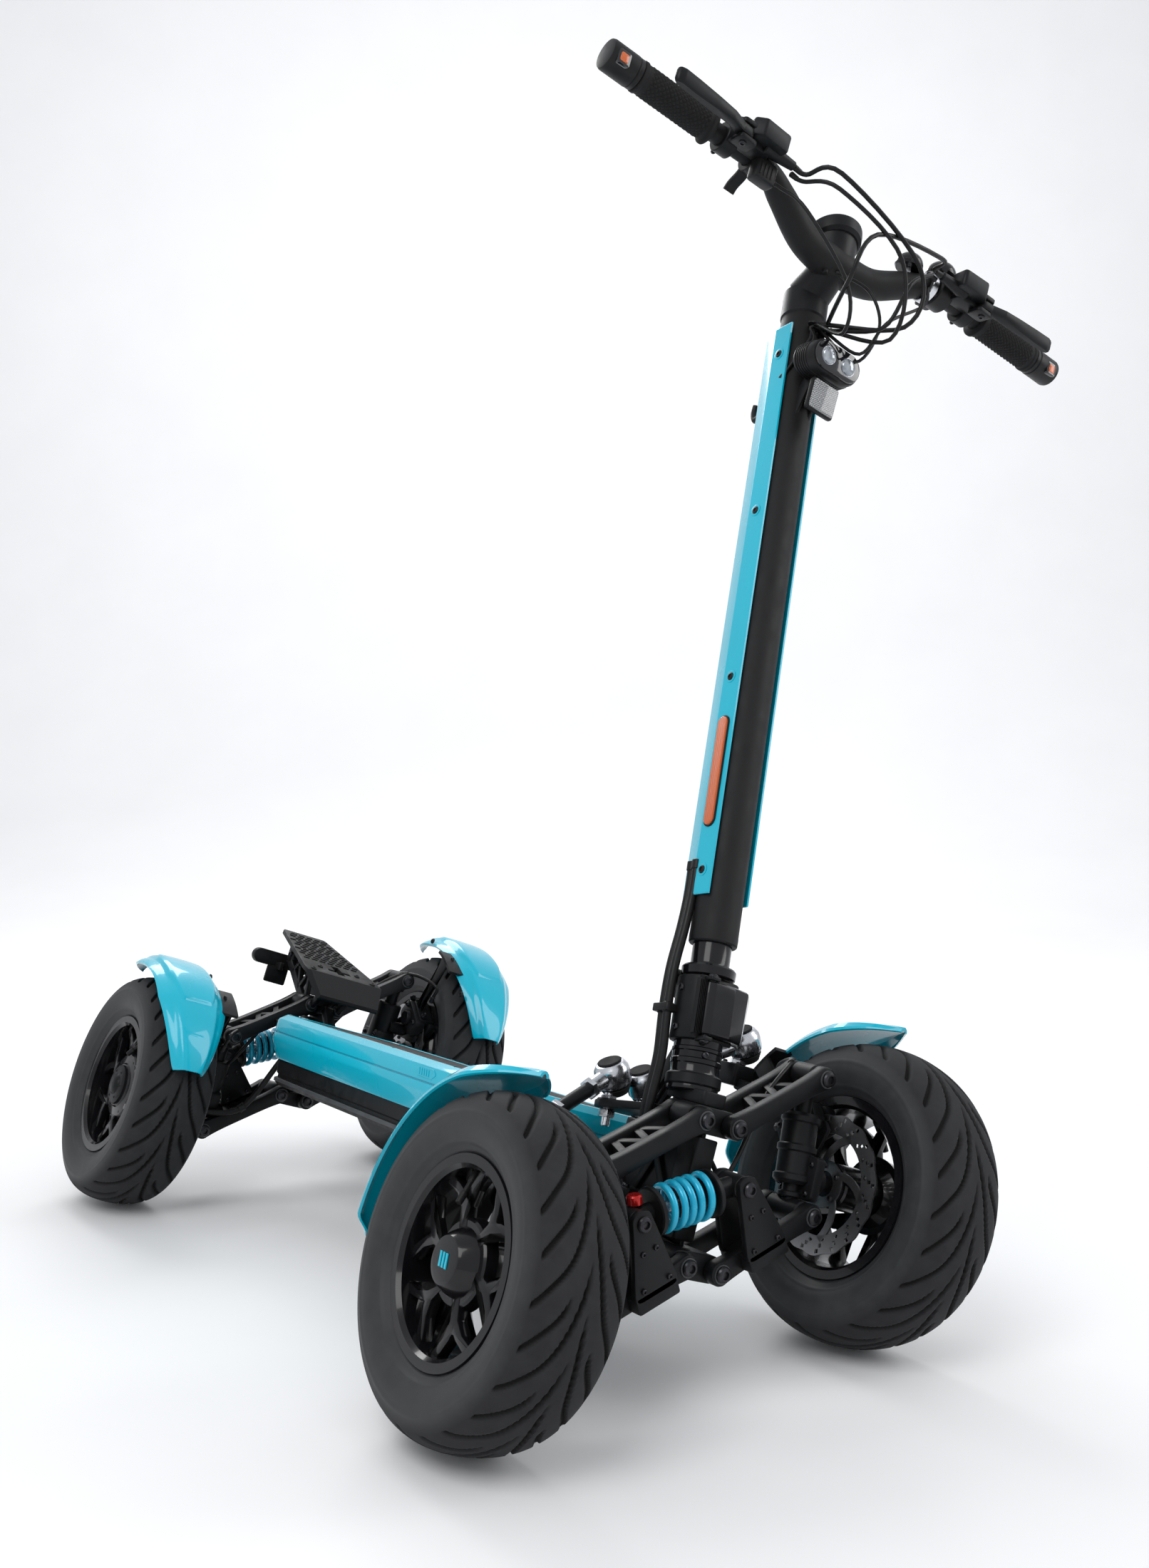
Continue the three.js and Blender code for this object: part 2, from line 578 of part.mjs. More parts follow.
function steeringColumn() {
  const ring = baseTubeRadius + 1.5;
  const base = turnedZ([[0, headHighS + fit], [ring, headHighS + fit], [ring, headHighS + 18],
    [baseTubeRadius, headHighS + 20], [baseTubeRadius, clampLowS + 2], [0, clampLowS + 2]], 28);
  const clamp = cut(rodZ(clampLowS, foldS - fit, 0, 0, clampRadius, 28),
    block([-60, 60], [-60, -21], [clampLowS - 10, foldS + 10]),
    block([-12, 12], [12, 60], [foldS - 12, foldS + 10]),
    rodZ(clampLowS - 10, foldS + 10, leverPivot[0], leverPivot[1] + 1, 9, 16));
  const lug = (x0, x1) => plate('yz', link([18, foldS - 14], [hingeY, foldS], 9), x0, x1);
  const post = rodZ(leverLowS - 3, leverHighS + 3, leverPivot[0], leverPivot[1] + 1, 4, 12);
  const arm = plate('yz', [[14, 150], [26, 140], [60, pitmanTopS - 8], [60, pitmanTopS],
    [24, 166], [14, 166]], -12, 12);
  const flat = plate('xy', [[-16, 42], [16, 42], [34, ballColumnY], [28, ballColumnY + 12],
    [-28, ballColumnY + 12], [-34, ballColumnY]], pitmanTopS - pitmanThickness, pitmanTopS);
  const holes = [-1, 1].map((side) =>
    boreZ(pitmanTopS - 20, pitmanTopS + 20, side * ballX, ballColumnY, pinRadius));
  const hingeBore = boreX(-30, 30, hingeY, foldS, 4);
  const ears = [leverLowS - 5, leverHighS + 1].map((s) => block([leverPivot[0] - 6, leverPivot[0] + 6],
    [leverPivot[1] - 5, -16], [s, s + 4]));
  const body = join(base, clamp, lug(-21, -12.5), lug(12.5, 21), arm, flat, ...ears, post);
  const footRoom = block([-40, 40], [-40, 19.5], [foldS - fit, foldS + 20]);
  return mesh('steering_column', cut(body, ...holes, hingeBore, footRoom), glossBlack);
}

// Lever of the fold clamp: wraps the column's front and stands out on the left.
function clampLever() {
  const [px, py] = leverPivot;
  const wrap = [[px, py - 6], [10, -34], [30, -29], [45, -12], [43, -8], [30, -20], [20, -22],
    [px + 8, -22], [px + 5, py + 3]];
  const barrel = rodZ(leverLowS - 0.6, leverHighS + 0.6, px, py + 1, 8, 16);
  const body = join(plate('xy', wrap, leverLowS, leverHighS), barrel);
  return mesh('clamp_lever', cut(body, boreZ(leverLowS - 9, leverHighS + 7, px, py + 1, 4)), satinBlack);
}

function tieRodStud(name, side) {
  const top = ballColumnS - housingRadius - 4;
  const stud = rodZ(pitmanTopS - 25, top, 0, 0, pinRadius, 12);
  const collar = rodZ(pitmanTopS + fit, pitmanTopS + 5, 0, 0, 9, 12);
  const nut = rodZ(pitmanTopS - pitmanThickness - 9, pitmanTopS - pitmanThickness - fit, 0, 0, 9, 6);
  const made = mesh(name, join(stud, collar, nut), zinc);
  made.position.set(side * ballX, ballColumnY, 0);
  return made;
}

// Tie rod from its inner ball at the origin to its outer ball.
function tieRod(name, side) {
  const out = V(side * armLength, outerBallY - ballY, 0);
  const housing = (at) => new THREE.SphereGeometry(housingRadius, 10, 6)
    .rotateX(Math.PI / 2).translate(at.x, at.y, at.z);
  const tube = rod(V(0, 0, 0), out, 8.5, 12);
  return mesh(name, join(housing(V(0, 0, 0)), housing(out), tube), zinc);
}

const tubeS = (s0, s1, r0, r1 = r0, sides = 28) => rod(V(0, 0, s0), V(0, 0, s1), r0, sides, r1);

function stemTube() {
  const inner = rodZ(foldS + fit, tubeStartS + 10, 0, 0, innerTubeRadius, 24);
  const foot = cut(rodZ(foldS + fit, foldS + 12, 0, 0, clampRadius - 2, 28),
    block([-60, 60], [-60, -21], [foldS, foldS + 20]),
    rodX(12, 40, hingeY, foldS, 10.5, 20), rodX(-40, -12, hingeY, foldS, 10.5, 20));
  const lug = plate('yz', link([16, foldS + 8], [hingeY, foldS], 8), -11.5, 11.5);
  const pin = rodX(-20.5, 20.5, hingeY, foldS, 4, 12);
  const outer = tubeS(tubeStartS, tubeEndS, tubeRadius);
  const bore = tubeS(tubeStartS + 30, tubeEndS + 5, tubeRadius - tubeWall);
  return mesh('stem_tube', join(cut(outer, bore), inner, foot, lug, pin), mattBlack);
}

// Bent cover round the back and sides of the stem.
function stemCover() {
  const wall = 2.2;
  const out = [[25.6 + wall, -14], [28.5, 12], [18, 37], [-18, 37], [-28.5, 12], [-25.6 - wall, -14]];
  const inn = [[-25.6, -14], [-28.5 + wall, 12], [-18 + wall * 0.8, 37 - wall],
    [18 - wall * 0.8, 37 - wall], [28.5 - wall, 12], [25.6, -14]];
  return mesh('stem_cover', plate('xy', [...out, ...inn], coverStartS, coverEndS), cyan);
}

// Handlebar with its head, in the chassis frame.
const barPath = [
  V(0, -303, 1221), V(52, -305, 1225), V(102, -312, 1248), V(138, barY, barZ), V(barHalf, barY, barZ),
];
const barRadii = [19, 18, 15.9, barEndRadius, barEndRadius];
const plugRadius = 20.5; // spigot of the head inside the stem tube

function handlebar() {
  const halves = [];
  for (const side of [-1, 1]) {
    for (let i = 0; i + 1 < barPath.length; i++) {
      const from = barPath[i].clone().multiply(V(side, 1, 1));
      const to = barPath[i + 1].clone().multiply(V(side, 1, 1));
      if (i > 0) from.lerp(to, -0.04);
      halves.push(rod(from, to, barRadii[i], 18, barRadii[i + 1]));
    }
  }
  const plug = rod(axisPoint(tubeEndS - 40), axisPoint(tubeEndS + 2), plugRadius, 24);
  const collar = rod(axisPoint(tubeEndS + fit), axisPoint(tubeEndS + 34), tubeRadius + 1, 24);
  const neck = rod(axisPoint(tubeEndS + 24), V(0, -303, 1221), tubeRadius, 20, 24);
  const display = rod(V(0, -296, 1226), V(0, -286, 1266), 30, 28, 33);
  return mesh('handlebar', join(plug, collar, neck, display, ...halves), mattBlack);
}

function grip(name, side) {
  const from = side * (perchX + 24);
  const to = side * (barHalf - 12);
  const sleeve = rodX(from, to, barY, barZ, 16.5, 20);
  const body = cut(sleeve, boreX(from - side, to + side, barY, barZ, barEndRadius));
  return mesh(name, body, rubber);
}

const perchX = 196;
const leverY = barY - 34;
const leverZ = barZ - 4;

function perch(name, side) {
  const x0 = side * (perchX - 9);
  const x1 = side * (perchX + 9);
  const ring = rodX(x0, x1, barY, barZ, 17, 20);
  const housing = block([side * (perchX - 30), x1], [leverY + 9, barY - 8], [barZ - 10, barZ + 14]);
  const jawX = [side * (perchX - 12), side * (perchX + 10)];
  const jaw = (z0, z1) => block(jawX, [leverY - 9, leverY + 12], [z0, z1]);
  const pin = rodZ(leverZ - 11, leverZ + 11, side * perchX, leverY, 3, 10);
  const body = join(ring, housing, jaw(leverZ + 6.5, leverZ + 12), jaw(leverZ - 12, leverZ - 6.5), pin);
  return mesh(name, cut(body, boreX(x0 - 60 * side, x1 + side, barY, barZ, barEndRadius)), satinBlack);
}

function brakeLever(name, side) {
  const blade = plate('xy', [
    [-8, 5.5], [9, 5.5], [28, -2], [104, -9], [109, -14], [104, -19], [26, -16], [8, -9], [-8, -7],
  ].map(([x, y]) => [side * (perchX + x), leverY + y]), leverZ - 6, leverZ + 6);
  return mesh(name, cut(blade, boreZ(leverZ - 20, leverZ + 20, side * perchX, leverY, 3)), satinBlack);
}

// Thumb throttle, turning round the right-hand end of the bar.
const throttleX = -156;
function throttle() {
  const ring = rodX(throttleX - 7, throttleX + 7, barY, barZ, 17, 20);
  const paddle = plate('yz', [[8, -10], [14, -12], [32, -26], [30, -31], [24, -31], [2, -15]]
    .map(([y, z]) => [barY + y, barZ + z]), throttleX - 7, throttleX + 7);
  return mesh('thumb_throttle', cut(join(ring, paddle),
    boreX(throttleX - 20, throttleX + 20, barY, barZ, barEndRadius)), satinBlack);
}

function headlight() {
  const lampZ = 1086;
  const backY = axisPoint((lampZ - steerBaseZ) / Math.cos(rake)).y - tubeRadius;
  const lamp = plate('xz', link([-17, lampZ], [17, lampZ], 19), backY - 8, backY - 46);
  const mountPlate = rod(axisPoint(850), axisPoint(905), 4, 6);
  mountPlate.translate(0, -tubeRadius - 4.4, 0);
  const arm = plate('yz', [[backY - 20, lampZ - 14], [backY - 8, lampZ - 14], [backY - 14, lampZ - 50],
    [backY - 22, lampZ - 78], [backY - 26, lampZ - 60]], -5, 5);
  const reflector = block([-16, 16], [backY - 40, backY - 34], [lampZ - 56, lampZ - 20]);
  const tie = block([-5, 5], [backY - 36, backY - 14], [lampZ - 44, lampZ - 34]);
  return mesh('headlight', join(lamp, arm, mountPlate, reflector, tie), satinBlack);
}

// ---- Assembly -------------------------------------------------------------------------------
const vehicle = new THREE.Group();
const leaned = group(vehicle, 0, 0, wheelCentreHeight, lean);
const chassis = group(leaned, 0, 0, -wheelCentreHeight);
chassis.name = 'chassis';
chassis.add(deckTray(), batteryPack(), gripTop(), sideCover('side_cover_left', 1),
  sideCover('side_cover_right', -1), frontSubframe(), rearSubframe(), footplate(), tailLight());

function corner(end, sideName) {
  const inward = end === 'front' ? 1 : -1;
  const side = sideName === 'left' ? 1 : -1;
  const label = `${end}_${sideName}`;
  const y = -inward * axleY;
  const upper = group(chassis, side * innerPivotX, y, upperPivotZ, -armAngle);
  upper.name = `pivot_${label}_upper_arm`;
  upper.add(upperArm(`${label}_upper_arm`, side, inward));
  const lower = group(chassis, side * innerPivotX, y, lowerPivotZ, -armAngle);
  lower.name = `pivot_${label}_lower_arm`;
  lower.add(lowerArm(`${label}_lower_arm`, side, inward));
  const carrier = group(lower, side * armLength, 0, 0, armAngle);
  carrier.name = `pivot_${label}_carrier`;
  const steered = group(carrier, 0, 0, 0);
  steered.name = `pivot_${label}_knuckle`;
  if (end === 'front') {
    carrier.add(mesh(`${label}_carrier`, upright(inward), satinBlack));
    steered.add(knuckle(`${label}_knuckle`, side, inward));
  } else carrier.add(rearCarrier(`${label}_carrier`, side, inward));
  const wheel = group(steered, side * wheelOut, 0, wheelUp);
  wheel.name = `pivot_${label}_wheel`;
  wheel.add(tyre(`${label}_tyre`));
  if (end === 'front') {
    wheel.add(frontRim(`${label}_rim`, side));
    const disc = brakeDisc(`${label}_disc`);
    disc.position.x = -side * discOffset;
    wheel.add(disc);
  } else wheel.add(hubMotor(`${label}_hub_motor`, side));
  const guard = group(steered, side * wheelOut, 0, wheelUp);
  guard.add(end === 'front'
    ? mudguard(`${label}_mudguard`, side, inward, 170, -6, 92, 40)
    : mudguard(`${label}_mudguard`, side, inward, 178, 17, 113, 60));
  const eye = group(lower, side * eyeX, -inward * towerShift, eyeZ, armAngle - damperAngle);
  eye.name = `pivot_${label}_damper`;
  if (side > 0) eye.add(damperBody(`${end}_damper_body`), spring(`${end}_damper_spring`));
  else eye.add(damperRod(`${end}_damper_rod`));
}
for (const end of ['front', 'rear']) for (const sideName of ['left', 'right']) corner(end, sideName);

const column = group(chassis, 0, steerBaseY, steerBaseZ);
column.rotation.x = -rake;
column.name = 'pivot_column';
column.add(steeringColumn(), clampLever());
for (const [sideName, side] of [['left', 1], ['right', -1]]) {
  column.add(tieRodStud(`tie_rod_stud_${sideName}`, side));
  const ball = group(column, side * ballX, ballColumnY, ballColumnS);
  ball.rotation.x = rake;
  const swing = group(ball, 0, 0, 0, -armAngle);
  swing.name = `pivot_tie_rod_${sideName}`;
  swing.add(tieRod(`tie_rod_${sideName}`, side));
}
column.add(stemTube(), stemCover());

// The bars are laid out in the chassis frame, so this group undoes the column's own place.
const bars = group(column, 0, 0, 0);
bars.rotation.x = rake;
bars.position.copy(V(0, -steerBaseY, -steerBaseZ).applyAxisAngle(V(1, 0, 0), rake));
bars.name = 'bars';
bars.add(handlebar(), throttle(), headlight());
for (const [sideName, side] of [['left', 1], ['right', -1]])
  bars.add(grip(`grip_${sideName}`, side), perch(`lever_perch_${sideName}`, side),
    brakeLever(`brake_lever_${sideName}`, side));

// The part's origin is the middle of its footprint, on the ground.
const box = new THREE.Box3().setFromObject(vehicle, true);
vehicle.position.set(-(box.min.x + box.max.x) / 2, -(box.min.y + box.max.y) / 2, -box.min.z);
const scooter = new THREE.Group();
scooter.add(vehicle);

export default scooter;
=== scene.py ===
# Detailed surfaces, materials and stage for a four-wheeled leaning stand-up electric scooter.
# Lengths are millimetres in local frames, and metres in the row frame.
import json
import math

import bmesh
import bpy
import numpy as np
from mathutils import Matrix, Vector


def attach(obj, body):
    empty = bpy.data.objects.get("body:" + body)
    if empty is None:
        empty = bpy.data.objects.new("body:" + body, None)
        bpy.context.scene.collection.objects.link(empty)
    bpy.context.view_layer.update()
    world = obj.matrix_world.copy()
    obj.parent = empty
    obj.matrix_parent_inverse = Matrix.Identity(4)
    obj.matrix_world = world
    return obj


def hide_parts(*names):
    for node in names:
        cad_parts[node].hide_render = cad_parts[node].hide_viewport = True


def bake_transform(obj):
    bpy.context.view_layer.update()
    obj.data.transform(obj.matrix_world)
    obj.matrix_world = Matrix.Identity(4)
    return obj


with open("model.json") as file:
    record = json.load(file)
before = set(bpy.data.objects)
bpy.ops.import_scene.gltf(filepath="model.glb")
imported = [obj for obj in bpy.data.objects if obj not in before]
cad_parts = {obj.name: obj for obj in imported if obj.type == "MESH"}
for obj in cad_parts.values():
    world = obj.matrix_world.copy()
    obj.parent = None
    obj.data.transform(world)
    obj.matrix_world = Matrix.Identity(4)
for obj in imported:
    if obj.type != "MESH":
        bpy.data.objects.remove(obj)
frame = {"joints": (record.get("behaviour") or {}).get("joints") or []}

bl_info = {
    "name": "Leaning four-wheeled scooter",
    "version": (1, 0, 0),
    "blender": (4, 5, 0),
    "location": "View3D > Sidebar > Scooter",
    "description": "Builds the scooter's detailed pieces and its stage over the CAD frame",
    "category": "Add Mesh",
}

MM = 0.001
TAU = 2 * math.pi


# ---- Frames -----------------------------------------------------------------------------------
def turn_x(angle):
    c, s = math.cos(angle), math.sin(angle)
    return np.array([[1, 0, 0], [0, c, -s], [0, s, c]])


def turn_y(angle):
    c, s = math.cos(angle), math.sin(angle)
    return np.array([[c, 0, s], [0, 1, 0], [-s, 0, c]])


class Place:
    """A local frame in millimetres: its origin in the row frame, in metres, and its turn."""

    def __init__(self, origin, turn):
        self.origin = np.array(origin, float)
        self.turn = turn

    def at(self, x, y, z, turn=np.eye(3)):
        return Place(self.origin + self.turn @ np.array([x, y, z]) * MM, self.turn @ turn)

    def row(self, points):
        return self.origin + (np.asarray(points, float) * MM) @ self.turn.T

    def local(self, points):
        return ((np.asarray(points, float) - self.origin) @ self.turn) / MM


JOINT = {joint["child"]: joint for joint in frame["joints"]}
STEERING = JOINT["steering_column"]
RAKE = math.asin(STEERING["axis"][1])
LEAN = math.atan2(STEERING["axis"][0], STEERING["axis"][2])
ARM_ANGLE = math.radians(35.5)
DAMPER_ANGLE = math.atan2(86.8 * math.sin(ARM_ANGLE), 42 + 86.8 * math.cos(ARM_ANGLE))
STEER_Y = -439
STEER_Z = 150
AXLE_Y = 465
TRACK = 447
LOWER_Z, UPPER_Z = 116.3, 249
POST, CASTER = 132.7, 17
BALL_Y, BALL_Z = -314, 268
DISC_X = 53

CHASSIS_TURN = turn_y(LEAN)
COLUMN = Place(STEERING["pos_m"], CHASSIS_TURN @ turn_x(-RAKE))
CHASSIS = Place(STEERING["pos_m"], CHASSIS_TURN).at(0, -STEER_Y, -STEER_Z)


def place_of(body, angle=0.0):
    return Place(JOINT[body]["pos_m"], CHASSIS_TURN @ turn_y(angle))


def on_axis(s):
    """The point of the steering axis at distance s along it, in the chassis frame."""
    return np.array([0, STEER_Y + s * math.sin(RAKE), STEER_Z + s * math.cos(RAKE)])


CORNERS = [(end, side) for end in ("front", "rear") for side in ("left", "right")]
SIGN = {"left": 1, "right": -1}
INWARD = {"front": 1, "rear": -1}


# ---- Surfaces -----------------------------------------------------------------------------------
def smooth(points, steps=6, closed=False):
    """Catmull-Rom curve through the points: p(t) = ½·[1 t t² t³]·M·[p₀ p₁ p₂ p₃]."""
    p = np.asarray(points, float)
    if closed:
        ahead = np.vstack([p[-1:], p, p[:2]])
    else:
        ahead = np.vstack([2 * p[:1] - p[1:2], p, 2 * p[-1:] - p[-2:-1]])
    t = np.arange(steps)[:, None] / steps
    pieces = []
    for i in range(len(ahead) - 3):
        a, b, c, d = ahead[i:i + 4]
        pieces.append(0.5 * (2 * b + (c - a) * t + (2 * a - 5 * b + 4 * c - d) * t ** 2
                             + (3 * b - a - 3 * c + d) * t ** 3))
    if not closed:
        pieces.append(p[-1:])
    return np.vstack(pieces)


def step(low, high, x):
    """Smooth step: 3t² - 2t³ with t from 0 at low to 1 at high."""
    t = np.clip((x - low) / (high - low), 0, 1)
    return t * t * (3 - 2 * t)


def rounded(corners, radius, steps=5):
    """A closed outline with each corner turned into an arc; radius is one value, or one for each corner."""
    p = np.asarray(corners, float)
    radii = np.broadcast_to(radius, len(p))
    made = []
    for i in range(len(p)):
        back = p[i - 1] - p[i]
        on = p[(i + 1) % len(p)] - p[i]
        lb, lo = np.linalg.norm(back), np.linalg.norm(on)
        half = 0.5 * math.acos(np.clip(back @ on / (lb * lo), -0.9999, 0.9999))
        reach = min(radii[i] / max(math.tan(half), 1e-3), 0.45 * lb, 0.45 * lo)
        a, b = p[i] + back / lb * reach, p[i] + on / lo * reach
        t = np.linspace(0, 1, steps)[:, None]
        made.append((1 - t) ** 2 * a + 2 * t * (1 - t) * p[i] + t ** 2 * b)
    return np.vstack(made)


def circle(radius, sides=32):
    angle = np.arange(sides) / sides * TAU
    return np.stack([radius * np.cos(angle), radius * np.sin(angle)], -1)


def link(a, b, ra, rb=None, steps=10):
    """Outline of a link: half circles of radius ra and rb round its two ends."""
    rb = ra if rb is None else rb
    a, b = np.array(a, float), np.array(b, float)
    way = math.atan2(b[1] - a[1], b[0] - a[0])
    t = np.linspace(0, math.pi, steps)
    start = a + ra * np.stack([np.cos(way + math.pi / 2 + t), np.sin(way + math.pi / 2 + t)], -1)
    end = b + rb * np.stack([np.cos(way - math.pi / 2 + t), np.sin(way - math.pi / 2 + t)], -1)
    return np.vstack([start, end])


def inset(outline, by):
    """Each point of a closed outline moved inwards by the distance, along its corner's bisector."""
    p = np.asarray(outline, float)
    on = np.roll(p, -1, 0) - p
    area = np.sum(p[:, 0] * np.roll(p[:, 1], -1) - np.roll(p[:, 0], -1) * p[:, 1])
    length = np.maximum(np.linalg.norm(on, axis=1, keepdims=True), 1e-6)
    normal = np.stack([-on[:, 1], on[:, 0]], -1) / length * np.sign(area)
    both = normal + np.roll(normal, 1, 0)
    size = np.maximum(np.sum(both * both, 1, keepdims=True), 0.4)
    return p + 2 * by * both / size


def level(outline, z):
    """The outline lifted to the height z."""
    return np.column_stack([outline, np.full(len(outline), z)])


AXES = {
    "x": np.array([[0, 1, 0], [0, 0, 1], [1, 0, 0]], float),
    "y": np.array([[1, 0, 0], [0, 0, 1], [0, 1, 0]], float),
    "z": np.array([[1, 0, 0], [0, 1, 0], [0, 0, 1]], float),
}


class Piece:
    """Surfaces gathered into one object, in one Place. The attribute 'local' keeps the local points."""

    def __init__(self, place):
        self.place = place
        self.points = []
        self.faces = []
        self.count = 0

    def add(self, points, faces):
        self.points.append(np.asarray(points, float))
        self.faces.extend(tuple(int(i) + self.count for i in face) for face in faces)
        self.count += len(points)

    def grid(self, surface, along=False):
        """surface[i, j]: j runs round a closed ring, i along, open with two caps or closed as well."""
        nu, nv = surface.shape[:2]
        index = np.arange(nu * nv).reshape(nu, nv)
        rows = np.vstack([index, index[:1]]) if along else index
        cols = np.hstack([rows, rows[:, :1]])
        quads = np.stack([cols[:-1, :-1], cols[1:, :-1], cols[1:, 1:], cols[:-1, 1:]], -1)
        faces = [tuple(q) for q in quads.reshape(-1, 4)]
        if not along:
            faces += [tuple(index[0]), tuple(index[-1][::-1])]
        self.add(surface.reshape(-1, 3), faces)

    def turned(self, profile, axis="x", at=(0, 0, 0), sides=48, closed=False):
        """Surface of revolution: (h, r) -> (h, r cos a, r sin a) about the axis."""
        profile = np.asarray(profile, float)
        a = np.arange(sides) / sides * TAU
        h, r = profile[:, 0:1], np.maximum(profile[:, 1:2], 1e-3)
        flat = np.stack([r * np.cos(a), r * np.sin(a), h + 0 * a], -1)
        self.grid(flat @ AXES[axis] + np.array(at, float), along=closed)

    def rod(self, a, b, radius, end=None, sides=24, bevel=0.6):
        """A round bar between two points, tapering, with bevelled ends."""
        a, b = np.array(a, float), np.array(b, float)
        end = radius if end is None else end
        way = b - a
        size = np.linalg.norm(way)
        bevel = min(bevel, radius * 0.4, size * 0.3)
        stations = [(0, radius - bevel), (bevel, radius), (size - bevel, end), (size, end - bevel)]
        self.sweep([a + way / size * s for s, _ in stations], [r for _, r in stations], sides)

    def sweep(self, path, radius, sides=16, outline=None, up=None, closed=False):
        """A section (c, s) carried along a path without twisting: p(u) + r(u)·(c(v)·e₁ + s(v)·e₂)."""
        path = np.asarray(path, float)
        radius = np.broadcast_to(np.asarray(radius, float), len(path))
        tangent = np.gradient(path, axis=0)
        if closed:
            tangent = np.roll(path, -1, 0) - np.roll(path, 1, 0)
        tangent /= np.maximum(np.linalg.norm(tangent, axis=1, keepdims=True), 1e-9)
        first = np.array(up, float) if up is not None else np.eye(3)[np.argmin(np.abs(tangent[0]))]
        e1 = np.zeros_like(path)
        current = first
        for i, t in enumerate(tangent):
            base = current if up is None else first
            current = base - t * (t @ base)
            current = current / np.linalg.norm(current)
            e1[i] = current
        e2 = np.cross(tangent, e1)
        section = circle(1.0, sides) if outline is None else np.asarray(outline, float)
        surface = (path[:, None] + radius[:, None, None]
                   * (e1[:, None] * section[None, :, 0:1] + e2[:, None] * section[None, :, 1:2]))
        self.grid(surface, along=closed)

    def slab(self, outline, axis, low, high, bevel=1.0):
        """An outline thickened along an axis: rings inset by b(1 - sin q) at b(1 - cos q) from each end."""
        low, high = min(low, high), max(low, high)
        q = np.linspace(0, math.pi / 2, 3)
        edge = list(zip(bevel * (1 - np.cos(q)), bevel * (1 - np.sin(q))))
        levels = [(low + up, inward) for up, inward in edge]
        levels += [(high - down, inward) for down, inward in edge[::-1]]
        rings = [level(inset(outline, inward), z) for z, inward in levels]
        self.grid(np.array(rings) @ AXES[axis])

    def block(self, x, y, z, radius=2.0, bevel=1.0, axis="z"):
        """A box between three pairs of limits, with rounded corners and bevelled edges."""
        spans = {"x": (y, z, x), "y": (x, z, y), "z": (x, y, z)}[axis]
        (a0, a1), (b0, b1), (low, high) = spans
        corners = [(a0, b0), (a1, b0), (a1, b1), (a0, b1)]
        self.slab(rounded(corners, radius, 4), axis, low, high, bevel)

    def bolt(self, at, way, radius=4.0, height=4.0, sides=20):
        """A socket button head: a domed revolve with a round recess."""
        way = np.array(way, float) / np.linalg.norm(way)
        a = np.arange(sides) / sides * TAU
        levels = [(0, 1.0), (0.45, 1.0), (0.8, 0.86), (1.0, 0.58), (0.98, 0.5), (0.45, 0.46)]
        first = np.eye(3)[np.argmin(np.abs(way))]
        e1 = np.cross(way, first)
        e1 /= np.linalg.norm(e1)
        e2 = np.cross(way, e1)
        rings = [np.array(at, float) + way * h * height
                 + radius * r * (np.cos(a)[:, None] * e1 + np.sin(a)[:, None] * e2) for h, r in levels]
        self.grid(np.array(rings))

    def nut(self, at, way, radius=6.0, height=5.0):
        """A hexagon nut with chamfered ends."""
        way = np.array(way, float) / np.linalg.norm(way)
        at = np.array(at, float)
        self.sweep([at, at + way * 0.15 * height, at + way * 0.9 * height, at + way * height],
                   [radius * 0.92, radius, radius, radius * 0.92], 6)

    def finish(self, name, body, material, nodes=(), angle=32):
        """The object: its points in the row frame, riding on its body and standing for its CAD nodes."""
        local = np.vstack(self.points)
        mesh = bpy.data.meshes.new(name)
        mesh.from_pydata(self.place.row(local).tolist(), [], self.faces)
        work = bmesh.new()
        work.from_mesh(mesh)
        bmesh.ops.recalc_face_normals(work, faces=work.faces)
        work.to_mesh(mesh)
        work.free()
        values = mesh.attributes.new("local", "FLOAT_VECTOR", "POINT")
        values.data.foreach_set("vector", (local * MM).ravel())
        mesh.shade_smooth()
        mesh.set_sharp_from_angle(angle=math.radians(angle))
        mesh.materials.append(material)
        obj = bpy.data.objects.new(name, mesh)
        bpy.context.scene.collection.objects.link(obj)
        if body:
            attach(obj, body)
        if nodes:
            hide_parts(*nodes)
        return obj


# ---- Node materials -------------------------------------------------------------------------------
class Value:
    """A node's output that arithmetic works on: each operator makes one Math node."""

    def __init__(self, tree, output):
        self.tree = tree
        self.output = output

    def math(self, operation, *others, clamp=False):
        node = self.tree.nodes.new("ShaderNodeMath")
        node.operation = operation
        node.use_clamp = clamp
        for i, item in enumerate((self, *others)):
            if isinstance(item, Value):
                self.tree.links.new(item.output, node.inputs[i])
            else:
                node.inputs[i].default_value = item
        return Value(self.tree, node.outputs[0])

    def reflected(self, operation, first):
        node = self.tree.nodes.new("ShaderNodeMath")
        node.operation = operation
        node.inputs[0].default_value = first
        self.tree.links.new(self.output, node.inputs[1])
        return Value(self.tree, node.outputs[0])

    def __add__(self, other):
        return self.math("ADD", other)

    __radd__ = __add__

    def __sub__(self, other):
        return self.math("SUBTRACT", other)

    def __rsub__(self, other):
        return self.reflected("SUBTRACT", other)

    def __mul__(self, other):
        return self.math("MULTIPLY", other)

    def __truediv__(self, other):
        return self.math("DIVIDE", other)

    def __pow__(self, other):
        return self.math("POWER", other)

    def __abs__(self):
        return self.math("ABSOLUTE")

    def over(self, low, high):
        """0 at low to 1 at high, clamped."""
        return ((self - low) / (high - low)).math("ADD", 0.0, clamp=True)


SHEEN = 0.22


